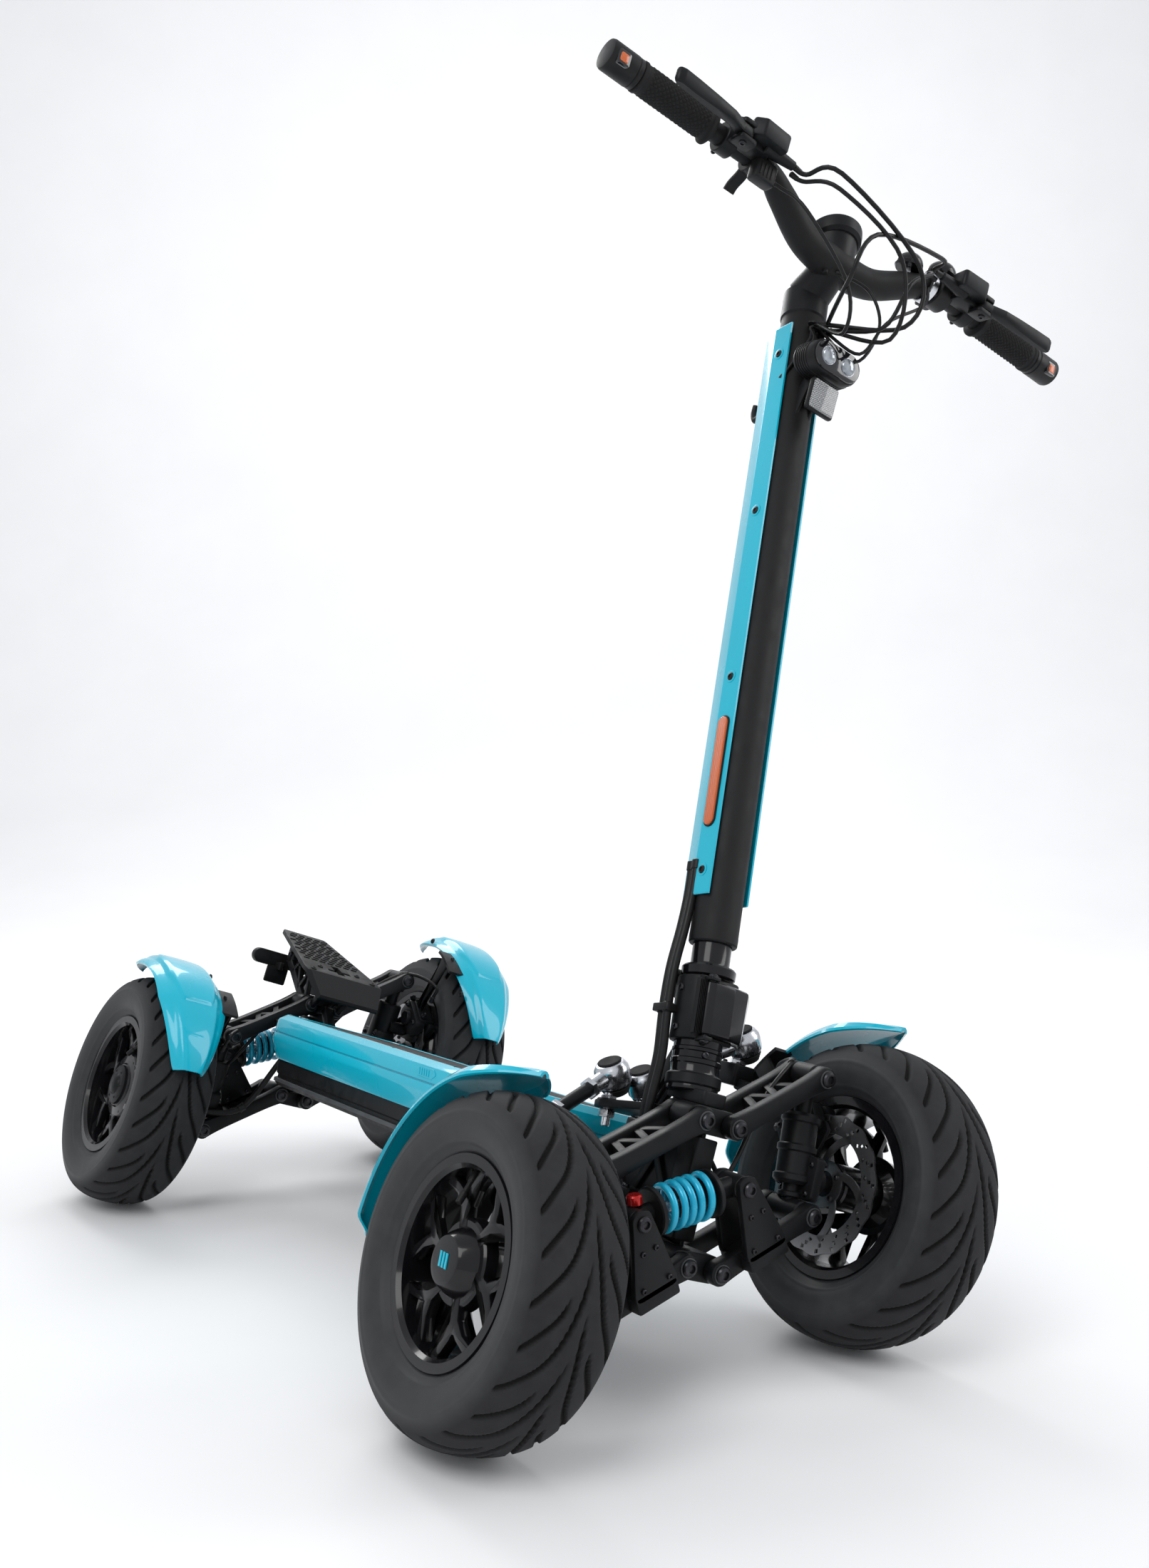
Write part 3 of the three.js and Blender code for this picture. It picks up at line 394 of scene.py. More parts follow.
class Paint:
    """One material: a Principled shader with its constants set, and the values that vary linked in."""

    def __init__(self, name, color, roughness, metallic=0.0, coat=0.0, coat_roughness=0.05):
        self.material = bpy.data.materials.new(name)
        self.material.use_nodes = True
        self.tree = self.material.node_tree
        self.shader = self.tree.nodes["Principled BSDF"]
        self.color = color
        self.set("Base Color", (*color, 1))
        self.set("Roughness", roughness)
        self.set("Metallic", metallic)
        self.set("Coat Weight", coat)
        self.set("Coat Roughness", coat_roughness)
        self.set("Specular IOR Level", SHEEN)

    def set(self, name, value):
        self.shader.inputs[name].default_value = value

    def node(self, kind, output=0, inputs=None, **settings):
        node = self.tree.nodes.new(kind)
        for key, value in settings.items():
            setattr(node, key, value)
        for key, value in (inputs or {}).items():
            if isinstance(value, Value):
                self.tree.links.new(value.output, node.inputs[key])
            else:
                node.inputs[key].default_value = value
        return Value(self.tree, node.outputs[output])

    def local(self):
        return self.node("ShaderNodeAttribute", "Vector", attribute_name="local")

    def axes(self, vector):
        return [self.node("ShaderNodeSeparateXYZ", i, {0: vector}) for i in range(3)]

    def noise(self, scale, detail=3.0, stretch=(1, 1, 1), own=False):
        """Noise from 0 to 1 on Object coordinates, or on the piece's own."""
        where = self.local() if own else self.node("ShaderNodeTexCoord", "Object")
        where = self.node("ShaderNodeMapping", 0, {"Vector": where, "Scale": stretch})
        return self.node("ShaderNodeTexNoise", 0, {"Vector": where, "Scale": scale, "Detail": detail})

    def link(self, name, value):
        self.tree.links.new(value.output, self.shader.inputs[name])

    def mix(self, amount, first, second):
        return self.node("ShaderNodeMix", 2, {0: amount, 6: (*first, 1), 7: (*second, 1)}, data_type="RGBA")

    def bump(self, height, strength=0.3, distance=0.0005):
        self.link("Normal", self.node("ShaderNodeBump", 0, {
            "Height": height, "Strength": strength, "Distance": distance}))

    def vary(self, second, low, high, scale=40, stretch=(1, 1, 1), own=False):
        """Base colour towards a second one, and roughness from low to high, by the same noise."""
        cloud = self.noise(scale, 4.0, stretch, own).over(0.3, 0.7)
        self.link("Base Color", self.mix(cloud, self.color, second))
        self.link("Roughness", cloud * (high - low) + low)
        return cloud


PAINTS = {}


def paint(function):
    """Makes the material when it is first asked for, and gives the same one after that."""
    def made():
        if function.__name__ not in PAINTS:
            PAINTS[function.__name__] = function(function.__name__).material
        return PAINTS[function.__name__]
    return made


@paint
def tyre_rubber(name):
    p = Paint(name, (0.036, 0.036, 0.038), 0.7)
    _, y, z = p.axes(p.local())
    radius = (y * y + z * z) ** 0.5
    wall = 1 - radius.over(0.128, 0.139)
    dust = p.noise(60, 6.0, own=True).over(0.35, 0.75)
    # The 'groove' mask paints the tread grooves near-black: painted shade in the recesses, mixed over the
    # rubber's own tone.
    groove = p.node("ShaderNodeAttribute", "Fac", attribute_name="groove")
    worn = p.mix(wall * 0.6 + dust * 0.35, (0.017, 0.017, 0.0185), (0.040, 0.041, 0.043))
    p.link("Base Color", p.node("ShaderNodeMix", 2, {0: groove, 6: worn, 7: (0.001, 0.001, 0.001, 1)},
                                data_type="RGBA"))
    p.link("Roughness", 0.72 - wall * 0.26 + dust * 0.08)
    p.bump(p.noise(900, 2.0, own=True), 0.25, 0.0002)
    return p


@paint
def cyan_paint(name):
    p = Paint(name, (0.0, 0.43, 0.58), 0.28, coat=0.6, coat_roughness=0.03)
    p.vary((0.0, 0.41, 0.55), 0.22, 0.32, 12)
    p.bump(p.noise(500, 2.0), 0.06, 0.0001)
    return p


@paint
def satin_black(name):
    p = Paint(name, (0.006, 0.0062, 0.0068), 0.4, 0.2)
    p.vary((0.010, 0.0105, 0.0115), 0.34, 0.5, 30)
    p.bump(p.noise(1400, 3.0), 0.18, 0.0001)
    return p


@paint
def gloss_black(name):
    p = Paint(name, (0.004, 0.004, 0.005), 0.2, 0.1, coat=0.3)
    p.vary((0.007, 0.007, 0.008), 0.14, 0.26, 25)
    p.bump(p.noise(300, 2.0), 0.05, 0.0001)
    return p


@paint
def matt_black(name):
    p = Paint(name, (0.007, 0.007, 0.0075), 0.58)
    p.vary((0.011, 0.011, 0.0115), 0.5, 0.66, 50)
    p.bump(p.noise(2200, 3.0), 0.3, 0.00012)
    return p


@paint
def black_plastic(name):
    p = Paint(name, (0.007, 0.007, 0.0075), 0.42)
    p.vary((0.011, 0.011, 0.0115), 0.36, 0.5, 70)
    p.bump(p.noise(2600, 2.0), 0.35, 0.0001)
    return p


@paint
def soft_rubber(name):
    p = Paint(name, (0.009, 0.009, 0.0095), 0.72)
    p.vary((0.015, 0.015, 0.0155), 0.68, 0.84, 90)
    p.bump(p.noise(1800, 2.0), 0.3, 0.00015)
    return p


@paint
def cable_black(name):
    p = Paint(name, (0.006, 0.006, 0.0065), 0.38)
    p.vary((0.010, 0.010, 0.0105), 0.3, 0.48, 120)
    p.bump(p.noise(1500, 2.0), 0.15, 0.0001)
    return p


@paint
def bright_zinc(name):
    p = Paint(name, (0.66, 0.67, 0.69), 0.24, 1.0)
    p.vary((0.55, 0.56, 0.6), 0.16, 0.34, 160)
    p.bump(p.noise(1200, 3.0), 0.12, 0.0001)
    return p


@paint
def dark_steel(name):
    p = Paint(name, (0.055, 0.055, 0.06), 0.34, 0.9)
    p.vary((0.03, 0.03, 0.033), 0.26, 0.44, 200)
    p.bump(p.noise(1500, 3.0), 0.15, 0.0001)
    return p


@paint
def brake_steel(name):
    """Ground disc: rings of noise about the wheel's axis."""
    p = Paint(name, (0.40, 0.40, 0.41), 0.34, 1.0)
    _, y, z = p.axes(p.local())
    radius = (y * y + z * z) ** 0.5
    rings = p.node("ShaderNodeTexNoise", 0, {"W": radius * 3000, "Scale": 1.0, "Detail": 2.0},
                   noise_dimensions="1D")
    p.link("Base Color", p.mix(rings, (0.26, 0.26, 0.27), (0.46, 0.46, 0.47)))
    p.link("Roughness", rings * 0.2 + 0.24)
    p.bump(rings, 0.2, 0.0001)
    return p


@paint
def spring_cyan(name):
    p = Paint(name, (0.01, 0.36, 0.55), 0.3, 0.2, coat=0.5)
    p.vary((0.015, 0.42, 0.62), 0.24, 0.36, 60)
    p.bump(p.noise(900, 2.0), 0.12, 0.0001)
    return p


@paint
def deck_grip(name):
    """Fine ribs along the deck: |sin| of the place across it, as bumps and as painted shade that darkens the
    troughs between them, mixed with real dust.
    """
    p = Paint(name, (0.014, 0.014, 0.015), 0.62)
    x, _, _ = p.axes(p.local())
    ribs = abs((x * (math.pi / 0.0035)).math("SINE"))
    dust = p.noise(140, 5.0, own=True).over(0.4, 0.75)
    # Base colour: the rib troughs painted darker as painted shade, with dust on top.
    p.link("Base Color", p.mix(ribs * 0.7 + dust * 0.3, (0.004, 0.004, 0.0045), (0.014, 0.014, 0.0145)))
    p.link("Roughness", 0.55 + dust * 0.2)
    p.bump(ribs, 0.8, 0.0008)
    return p


@paint
def amber_lens(name):
    """Prismatic reflector: a fine lattice of ribs under a gloss coat, the cells painted lighter and darker
    amber as painted glints and shade of the prisms.
    """
    p = Paint(name, (0.85, 0.18, 0.008), 0.22, coat=1.0)
    x, y, z = p.axes(p.local())
    cells = ((x + z) * (TAU / 0.0026)).math("SINE") * ((z - x + y) * (TAU / 0.0026)).math("SINE")
    # Lighter and darker amber cells: painted glints and shade of the prisms.
    p.link("Base Color", p.mix(cells.over(-1, 1), (0.40, 0.045, 0.003), (0.72, 0.15, 0.012)))
    p.link("Roughness", cells * 0.08 + 0.2)
    p.bump(cells, 0.5, 0.0005)
    return p


@paint
def clear_prism(name):
    """Clear reflector: square prisms that catch light from many sides; their glints are painted into the
    colour as bright and dark cells.
    """
    p = Paint(name, (0.8, 0.82, 0.84), 0.12, 0.75, coat=1.0)
    x, _, z = p.axes(p.local())
    cells = (x * (TAU / 0.003)).math("SINE") * (z * (TAU / 0.003)).math("SINE")
    # Bright and dark cells: painted glints and reflections of the prisms.
    p.link("Base Color", p.mix(cells.over(-1, 1), (0.10, 0.105, 0.11), (0.45, 0.46, 0.47)))
    p.link("Roughness", cells * 0.06 + 0.14)
    p.bump(cells, 0.9, 0.0007)
    return p


@paint
def dark_lens(name):
    p = Paint(name, (0.004, 0.004, 0.005), 0.06, coat=1.0)
    p.vary((0.008, 0.008, 0.01), 0.04, 0.1, 20)
    return p


@paint
def lamp_glass(name):
    p = Paint(name, (0.20, 0.22, 0.25), 0.08, 0.5, coat=1.0)
    cloud = p.vary((0.42, 0.45, 0.48), 0.04, 0.14, 90)
    p.bump(cloud, 0.2, 0.0004)
    return p


@paint
def red_anodised(name):
    p = Paint(name, (0.45, 0.012, 0.01), 0.3, 0.6, coat=0.4)
    p.vary((0.36, 0.01, 0.01), 0.24, 0.38, 120)
    return p


@paint
def grey_casting(name):
    p = Paint(name, (0.075, 0.078, 0.08), 0.5, 0.4)
    p.vary((0.1, 0.104, 0.11), 0.42, 0.6, 60)
    p.bump(p.noise(900, 4.0), 0.3, 0.0002)
    return p


# ---- Wheels: wheel centre at the origin, axle along X ------------------------------------------------
TYRE_HALF = [(34, 88), (41, 95), (48.5, 106), (51.8, 119), (50.2, 131), (43.5, 141), (31, 147.8),
             (15, 151.4), (0, 152.3)]
TREAD_PITCHES = 12
GROOVE_HALF = 2.0
GROOVE_DEPTH = 3.8


def tread_depth(angle, x, radius):
    """Grooves a = f(x) from crown to shoulder: f(x) = 0.8·(1 - (1 - u)^1.8) + 0.05·sin 2πu, u = |x|/47.

    They are mirrored and half a pitch apart on the two sides, and their walls slope."""
    pitch = TAU / TREAD_PITCHES
    depth = np.zeros(np.broadcast(angle, x).shape)
    for side in (1, -1):
        a = np.maximum(side * x, 0.0)
        for shift, start, stop in ((0.0, 2.0, 46.5), (0.5 * pitch, 17.0, 45.0)):
            rest = np.maximum(1 - a / 47, 0.0)
            sweep = 0.8 * (1 - rest ** 1.8) + 0.05 * np.sin(a / 47 * TAU)
            slope = 0.8 * 1.8 / 47 * rest ** 0.8 + 0.05 * TAU / 47 * np.cos(a / 47 * TAU)
            off = angle - shift - (0.5 * pitch if side < 0 else 0) - sweep
            off = (off + pitch / 2) % pitch - pitch / 2
            gap = np.abs(off) * radius / np.sqrt(1 + (radius * slope) ** 2)
            cut = 1 - step(GROOVE_HALF * 0.55, GROOVE_HALF * 1.5, gap)
            inside = step(start - 2, start + 2, side * x) * (1 - step(stop - 3, stop, side * x))
            depth = np.maximum(depth, cut * inside)
    return depth * GROOVE_DEPTH


def tyre(end, side, around=640):
    """Tyre: a smooth closed section turned about the axle, (x, r) -> (x, (r - d) cos a, (r - d) sin a)."""
    half = np.array(TYRE_HALF)
    outer = smooth(np.vstack([half, (half * [-1, 1])[-2::-1]]), 8)
    inner = np.array([(-30, 92), (-26, 97), (26, 97), (30, 92)])
    profile = np.vstack([outer, inner])
    x, r = profile[:, 0], profile[:, 1]
    for at, size in ((101, 0.9), (126, 0.5)):
        bead = size * np.exp(-((r - at) / 1.6) ** 2)
        x = x + np.sign(x) * bead * (np.abs(x) > 40)
    a = (np.arange(around) / around * TAU)[:, None]
    depth = tread_depth(a, x[None, :], 150.0) * (r[None, :] > 134)
    radial = r[None, :] - depth
    surface = np.stack([x[None, :] + 0 * a, radial * np.cos(a), radial * np.sin(a)], -1)
    body = f"{end}_{side}_wheel"
    piece = Piece(place_of(body))
    piece.grid(surface, along=True)
    obj = piece.finish(f"{end}_{side}_tyre_carcass", body, tyre_rubber(), [f"{end}_{side}_tyre"], angle=50)
    # 'groove' holds how deep each point lies in a tread groove: the mask for the painted shade that the tyre
    # material puts in the grooves.
    groove = obj.data.attributes.new("groove", "FLOAT", "POINT")
    groove.data.foreach_set("value", np.clip(depth / GROOVE_DEPTH * 1.3, 0, 1).ravel())


RIM_LOOP = [(-41, 83), (-41, 91.5), (-38.5, 92.2), (-36.5, 90), (-34, 86.2), (-12, 84.4), (12, 84.4),
            (34, 86.2), (36.5, 90), (38.5, 92.2), (41, 91.5), (41, 83), (37, 79.5), (20, 77.5),
            (-20, 77.5), (-37, 79.5)]
SPOKES = 6


def forked_spoke(piece, turn, root, face, side):
    """A spoke that forks: one closed outline in the wheel's plane, turned round to its place."""
    fork = math.radians(19)
    tip = math.radians(9)
    polar = [(root, -0.30), (48, -0.13), (62, -0.24), (80, -fork - tip * 0.6), (80, -fork + tip * 0.45),
             (64, -0.07), (58, 0.0), (64, 0.07), (80, fork - tip * 0.45), (80, fork + tip * 0.6),
             (62, 0.24), (48, 0.13), (root, 0.30)]
    outline = rounded([(r * math.cos(a + turn), r * math.sin(a + turn)) for r, a in polar], 2.5, 4)
    piece.slab(outline, "x", side * (face - 12), side * face, 2.2)


def front_rim(side):
    """Gloss rim: barrel with two lips, six forked spokes, conical hub, and a cap with three slanted bars."""
    s = SIGN[side]
    body = f"front_{side}_wheel"
    piece = Piece(place_of(body))
    piece.turned(RIM_LOOP, sides=120, closed=True)
    for i in range(SPOKES):
        forked_spoke(piece, i * TAU / SPOKES + 0.2, 22, 30, s)
    piece.turned([(s * h, r) for h, r in [(-44, 0), (-44, 21), (-42, 23), (10, 23), (16, 33), (25, 33),
                                          (27, 32), (42, 23.5), (44.6, 21), (45, 18), (45, 0)]])
    piece.turned([(s * h, r) for h, r in [(16, 27), (16, 40), (27, 38), (29, 36), (29, 27)]], sides=60)
    piece.finish(f"front_{side}_rim_cast", body, gloss_black(), [f"front_{side}_rim"])
    mark = Piece(place_of(body))
    for i in range(3):
        y = -7 + i * 5
        mark.slab([(y, -6.5), (y + 3, -6.5), (y + 5, 6.5), (y + 2, 6.5)], "x", s * 44.8, s * 46, 0.2)
    mark.finish(f"front_{side}_hub_badge", body, cyan_paint())
    valve_stem("front", side)


def valve_stem(end, side):
    """Rubber-footed valve with its cap, leaning inwards from the rim's well."""
    s = SIGN[side]
    body = f"{end}_{side}_wheel"
    piece = Piece(place_of(body))
    a = math.radians(74 if end == "front" else 118)
    way = np.array([0, math.cos(a), math.sin(a)])
    foot = way * 79 + [s * 22, 0, 0]
    tip = way * 52 + [s * 36, 0, 0]
    piece.rod(foot, foot + (tip - foot) * 0.4, 4.2, 3.2)
    piece.rod(foot + (tip - foot) * 0.38, tip, 2.6, 2.6, 16)
    piece.rod(foot + (tip - foot) * 0.75, tip + (tip - foot) * 0.12, 3.6, 3.3, 16)
    piece.finish(f"{end}_{side}_valve", body, black_plastic())


def hub_motor(side):
    """Rear hub: motor drum with a stepped cover and bolts, in the same barrel with short forked spokes."""
    s = SIGN[side]
    body = f"rear_{side}_wheel"
    piece = Piece(place_of(body))
    piece.turned(RIM_LOOP, sides=120, closed=True)
    piece.turned([(s * h, r) for h, r in [(-40, 0), (-40, 54), (-37, 58), (-32, 64), (-28, 66), (2, 66),
                                          (6, 63), (9, 50), (20, 46), (24, 42), (26, 30), (28, 28),
                                          (28, 0)]], sides=96)
    for i in range(SPOKES):
        forked_spoke(piece, i * TAU / SPOKES + 0.45, 42, 26, s)
    piece.finish(f"rear_{side}_rim_cast", body, gloss_black(), [f"rear_{side}_hub_motor"])
    cover = Piece(place_of(body))
    cover.turned([(s * h, r) for h, r in [(26, 27), (31, 26), (33, 23), (33.5, 14), (36, 12), (38, 9),
                                          (38.5, 0), (26, 0)]])
    for i in range(6):
        a = i * TAU / 6
        cover.bolt((s * 31.5, 19 * math.cos(a), 19 * math.sin(a)), (s, 0, 0), 2.6, 2.2, 12)
        cover.bolt((s * 22, 37 * math.cos(a), 37 * math.sin(a)), (s, 0, 0), 3.2, 3, 12)
    cover.finish(f"rear_{side}_motor_cover", body, satin_black())
    valve_stem("rear", side)


def brake_disc(end, side):
    """Drilled disc: a polar grid whose cells inside a hole are left out, swept arms and a bolted carrier."""
    s = SIGN[side]
    body = f"{end}_{side}_wheel"
    piece = Piece(place_of(body))
    around, half, x0 = 300, 1.0, -s * DISC_X
    radii = np.linspace(51, 70, 20)
    wave = 1.2 * np.cos(np.arange(around) / around * TAU * 15)
    a = np.arange(around) / around * TAU
    edge = radii[None, :] + wave[:, None] * ((radii - 51) / 19)[None, :] * 0.8
    centre_a = a + TAU / around / 2
    keep = np.ones((around, len(radii) - 1), bool)
    mid = (radii[:-1] + radii[1:]) / 2
    for r0, lead in ((56, 0.0), (61, 0.07), (66, 0.14)):
        pitch = TAU / 20
        off = (centre_a - lead + pitch / 2) % pitch - pitch / 2
        keep &= ~((off[:, None] * r0) ** 2 + (mid[None, :] - r0) ** 2 < 2.3 ** 2)
    points = []
    for x in (x0 + half, x0 - half):
        ring = [np.full_like(edge, x), edge * np.cos(a)[:, None], edge * np.sin(a)[:, None]]
        points.append(np.stack(ring, -1))
    n = around * len(radii)
    index = np.arange(n).reshape(around, len(radii))
    nxt = np.roll(index, -1, 0)
    faces = []
    for i, j in zip(*np.nonzero(keep)):
        quad = (index[i, j], nxt[i, j], nxt[i, j + 1], index[i, j + 1])
        faces += [quad, tuple(q + n for q in quad[::-1])]
    filled = np.pad(keep, ((0, 0), (1, 1)))
    for i, j in zip(*np.nonzero(filled[:, 1:] != filled[:, :-1])):
        faces.append((index[i, j], nxt[i, j], nxt[i, j] + n, index[i, j] + n))
    for i, j in zip(*np.nonzero(keep != np.roll(keep, -1, 0))):
        k = nxt[i]
        faces.append((k[j], k[j + 1], k[j + 1] + n, k[j] + n))
    piece.add(np.concatenate([p.reshape(-1, 3) for p in points]), faces)
    for i in range(5):
        angle = i * TAU / 5
        t = np.linspace(0, 1, 8)[:, None]
        radius = 19 + 36 * t
        bend = angle + 0.75 * t
        path = np.hstack([np.full_like(t, x0), radius * np.cos(bend), radius * np.sin(bend)])
        piece.sweep(path, 1.0, outline=[(1.0, 4), (1.0, -4), (-1.0, -4), (-1.0, 4)], up=(1, 0, 0))
    piece.turned([(x0 - 1, 13), (x0 - 1, 24), (x0 + 1, 24), (x0 + 1, 13)], closed=True)
    nodes = [f"front_{side}_disc"] if end == "front" else []
    piece.finish(f"{end}_{side}_drilled_disc", body, brake_steel(), nodes)
    bolts = Piece(place_of(body))
    for i in range(5):
        angle = i * TAU / 5 + 0.1
        bolts.bolt((x0 - s, 18.5 * math.cos(angle), 18.5 * math.sin(angle)), (-s, 0, 0), 3, 2.5, 12)
    bolts.turned([(-s * 44, 0), (-s * 44, 20), (-s * 52, 21), (-s * 52, 0)])
    bolts.finish(f"{end}_{side}_disc_bolts", body, dark_steel())


def caliper(end, side):
    """Brake caliper over the disc's edge, with its bolts, bleed nipple and mounting bracket."""
    s = SIGN[side]
    carrier = f"{end}_{side}_knuckle" if end == "front" else f"{end}_{side}_carrier"
    wheel = place_of(f"{end}_{side}_wheel")
    inward = INWARD[end]
    place = wheel.at(-s * DISC_X, 0, 0, turn_x(-inward * math.radians(38)))
    piece = Piece(place)
    for x0, x1 in ((-s * 20, -s * 3), (s * 3, s * 16)):
        piece.block((x0, x1), (-27, 27), (49, 79), 8, 2.2, "x")
    piece.block((-s * 14, s * 11), (-21, 21), (71.5, 82), 4, 2, "x")
    piece.rod((-s * 20, 0, 62), (-s * 26, 0, 62), 11, 10, 32)
    piece.finish(f"{end}_{side}_caliper", carrier, satin_black())
    trim = Piece(place)
    for y in (-19, 19):
        trim.bolt((-s * 20, y, 72), (-s, 0, 0), 3.4, 3.2)
    trim.nut((-s * 9, -16, 82), (0, 0, 1), 4.2, 5)
    trim.rod((-s * 9, -16, 86), (-s * 9, -16, 92), 2, 1.6)
    trim.nut((-s * 12, 26, 76), (0, 1, 0.3), 5, 7)
    trim.finish(f"{end}_{side}_caliper_bolts", carrier, dark_steel())
    bracket = Piece(place)
    bracket.slab(rounded([(-30, 44), (-24, 40), (10, 18), (24, 40), (30, 46), (30, 56), (-30, 56)], 4),
                 "x", -s * 9, -s * 4, 1)
    bracket.finish(f"{end}_{side}_caliper_bracket", carrier, satin_black())


# ---- Mudguards -------------------------------------------------------------------------------------
def guard_surface(section, angles, inward):
    """A shell about the axle: section(t) is a closed loop of (x, r); (x, r) -> (x, i·r cos a, r sin a)."""
    rows = []
    for t, angle in zip(np.linspace(0, 1, len(angles)), angles):
        x, r = section(t).T
        rows.append(np.stack([x, inward * r * math.cos(angle), r * math.sin(angle)], -1))
    return np.array(rows)


def loop_of(skin, wall):
    """A skin from edge to edge, closed by its own inner face."""
    skin = np.asarray(skin, float)
    tangent = np.gradient(skin, axis=0)
    tangent /= np.maximum(np.linalg.norm(tangent, axis=1, keepdims=True), 1e-6)
    normal = np.stack([tangent[:, 1], -tangent[:, 0]], -1)
    return np.vstack([skin, (skin + normal * wall)[::-1]])


def front_guard(side):
    """Thin arched mudguard with bevelled edges that closes to a point at its top end."""
    body = f"front_{side}_knuckle"
    wheel = place_of(f"front_{side}_wheel")
    angles = np.radians(np.linspace(-6, 93, 90))

    def section(t):
        taper = 1 - 0.9 * max(0.0, (t - 0.78) / 0.22) ** 1.35
        low = 1 - 0.3 * (1 - step(0.0, 0.07, t))
        w = 49 * taper * low
        lift = 3.0 * step(0.75, 1.0, t)
        skin = [(w, 160 + 8 * (1 - taper)), (w * 0.97, 163.5 + 5 * (1 - taper)), (w * 0.8, 170.5),
                (w * 0.3, 172.6), (0, 173), (-w * 0.3, 172.6), (-w * 0.8, 170.5),
                (-w * 0.97, 163.5 + 5 * (1 - taper)), (-w, 160 + 8 * (1 - taper))]
        points = np.array(skin) + [0, lift]
        return loop_of(points, -2.6)

    piece = Piece(wheel)
    piece.grid(guard_surface(section, angles, 1))
    piece.finish(f"front_{side}_guard_shell", body, cyan_paint(), [f"front_{side}_mudguard"], angle=18)
    guard_stay("front", side, 40, 163)


def rear_guard(side):
    """Wide faceted fender: a raised six-sided panel between creases, with a low tapering tip."""
    body = f"rear_{side}_carrier"
    wheel = place_of(f"rear_{side}_wheel")
    angles = np.radians(np.linspace(17, 113, 110))

    def section(t):
        tip = 0.42 + 0.58 * min(1.0, t / 0.38) ** 0.75
        end = math.sqrt(1 - 0.8 * max(0.0, (t - 0.8) / 0.2) ** 2)
        w = 49 * tip * end
        base = 172 + 10 * t
        x = np.linspace(-1, 1, 81)
        crown = base + 1.5 * (1 - x ** 2)
        fall = -10 * np.abs(x) ** 5 - 4 * step(0.55, 0.78, np.abs(x))
        half = 0.46 + 0.24 * min(1.0, max(0.0, (t - 0.36) / 0.16)) - 0.42 * max(0.0, (t - 0.72) / 0.2)
        panel = 2.2 * (1 - step(half - 0.06, half + 0.06, np.abs(x)))
        panel = panel * step(0.335, 0.36, t) * (1 - step(0.90, 0.925, t))
        skin = np.stack([-x * w, crown + fall + panel], -1)
        return np.vstack([skin, (skin * [0.95, 1] - [0, 2.8])[::-1]])

    piece = Piece(wheel)
    piece.grid(guard_surface(section, angles, -1))
    piece.finish(f"rear_{side}_guard_shell", body, cyan_paint(), [f"rear_{side}_mudguard"], angle=14)
    screws = Piece(wheel)
    s = SIGN[side]
    for degrees in (38, 62, 88):
        a = math.radians(degrees)
        r = 172 + 10 * (degrees - 17) / 96 - 9
        screws.bolt((-s * 48.6, -r * math.cos(a), r * math.sin(a)), (-s, 0, 0.2), 4.2, 2.6)
    screws.finish(f"rear_{side}_guard_screws", body, black_plastic())
    guard_stay("rear", side, 60, 168)


def guard_stay(end, side, degrees, reach):
    """Dark stay from the hub's lug to the shell: an upright web and a saddle under the shell."""
    s = SIGN[side]
    inward = INWARD[end]
    body = f"{end}_{side}_knuckle" if end == "front" else f"{end}_{side}_carrier"
    wheel = place_of(f"{end}_{side}_wheel")
    piece = Piece(wheel)
    a = math.radians(degrees)
    top = (inward * reach * math.cos(a), reach * math.sin(a))
    wide = [(top[0] - 12 * math.sin(a) * inward, top[1] + 12 * math.cos(a)),
            (top[0] + 12 * math.sin(a) * inward, top[1] - 12 * math.cos(a))]
    outline = rounded([(inward * 22 - 10, 26), (inward * 22 + 10, 22), wide[1], wide[0]], 4, 4)
    piece.slab(outline, "x", -s * 64, -s * 60, 1.2)
    t = np.linspace(-0.16, 0.16, 9)
    path = np.stack([np.full_like(t, -s * 52), inward * (reach - 2) * np.cos(a + t),
                     (reach - 2) * np.sin(a + t)], -1)
    piece.sweep(path, 1.0, outline=[(12, 2), (12, -2), (-12, -2), (-12, 2)], up=(1, 0, 0))
    piece.finish(f"{end}_{side}_guard_stay", body, black_plastic())
    bolts = Piece(wheel)
    bolts.bolt((-s * 64, inward * 22, 30), (-s, 0, 0), 5.5, 4.5)
    bolts.finish(f"{end}_{side}_stay_bolt", body, dark_steel())


# ---- Suspension -----------------------------------------------------------------------------------
ARM = 120
TOWER_EYE = (43.4, 69.5)


def waisted_leg(piece, side, y0, y1):
    """One solid leg of a wishbone, waisted between its round ends: half height 9.4 + 2.4·(2t - 1)^4."""
    t = np.linspace(0, 1, 33)
    x = side * ARM * t
    half = 9.4 + 2.4 * (2 * t - 1) ** 4
    q = np.linspace(math.pi / 2, 3 * math.pi / 2, 14)[1:-1]
    near = np.stack([side * 12 * np.cos(q), 12 * np.sin(q)], -1)
    far = np.stack([side * (ARM - 12 * np.cos(q)), -12 * np.sin(q)], -1)
    outline = np.vstack([np.stack([x, half], -1)[::-1], near, np.stack([x, -half], -1), far])
    piece.slab(outline, "y", y0, y1, 2.2)


def wishbone(piece, side, inward, shift, gap):
    """Two waisted legs a gap apart, a zigzag of webs between them and a tube round each pivot."""
    near, far = shift - gap / 2, shift + gap / 2
    for a, b in ((near - 14, near), (far, far + 14)):
        waisted_leg(piece, side, inward * a, inward * b)
    for start, stop in ((34, 50), (62, 50), (62, 78), (90, 78)):
        web = link((side * start, inward * (near - 3)), (side * stop, inward * (far + 3)), 4)
        piece.slab(web, "z", -6, 6, 1)
    for x in (0, side * ARM):
        piece.rod((x, inward * (near - 1), 0), (x, inward * (far + 1), 0), 5, sides=20)


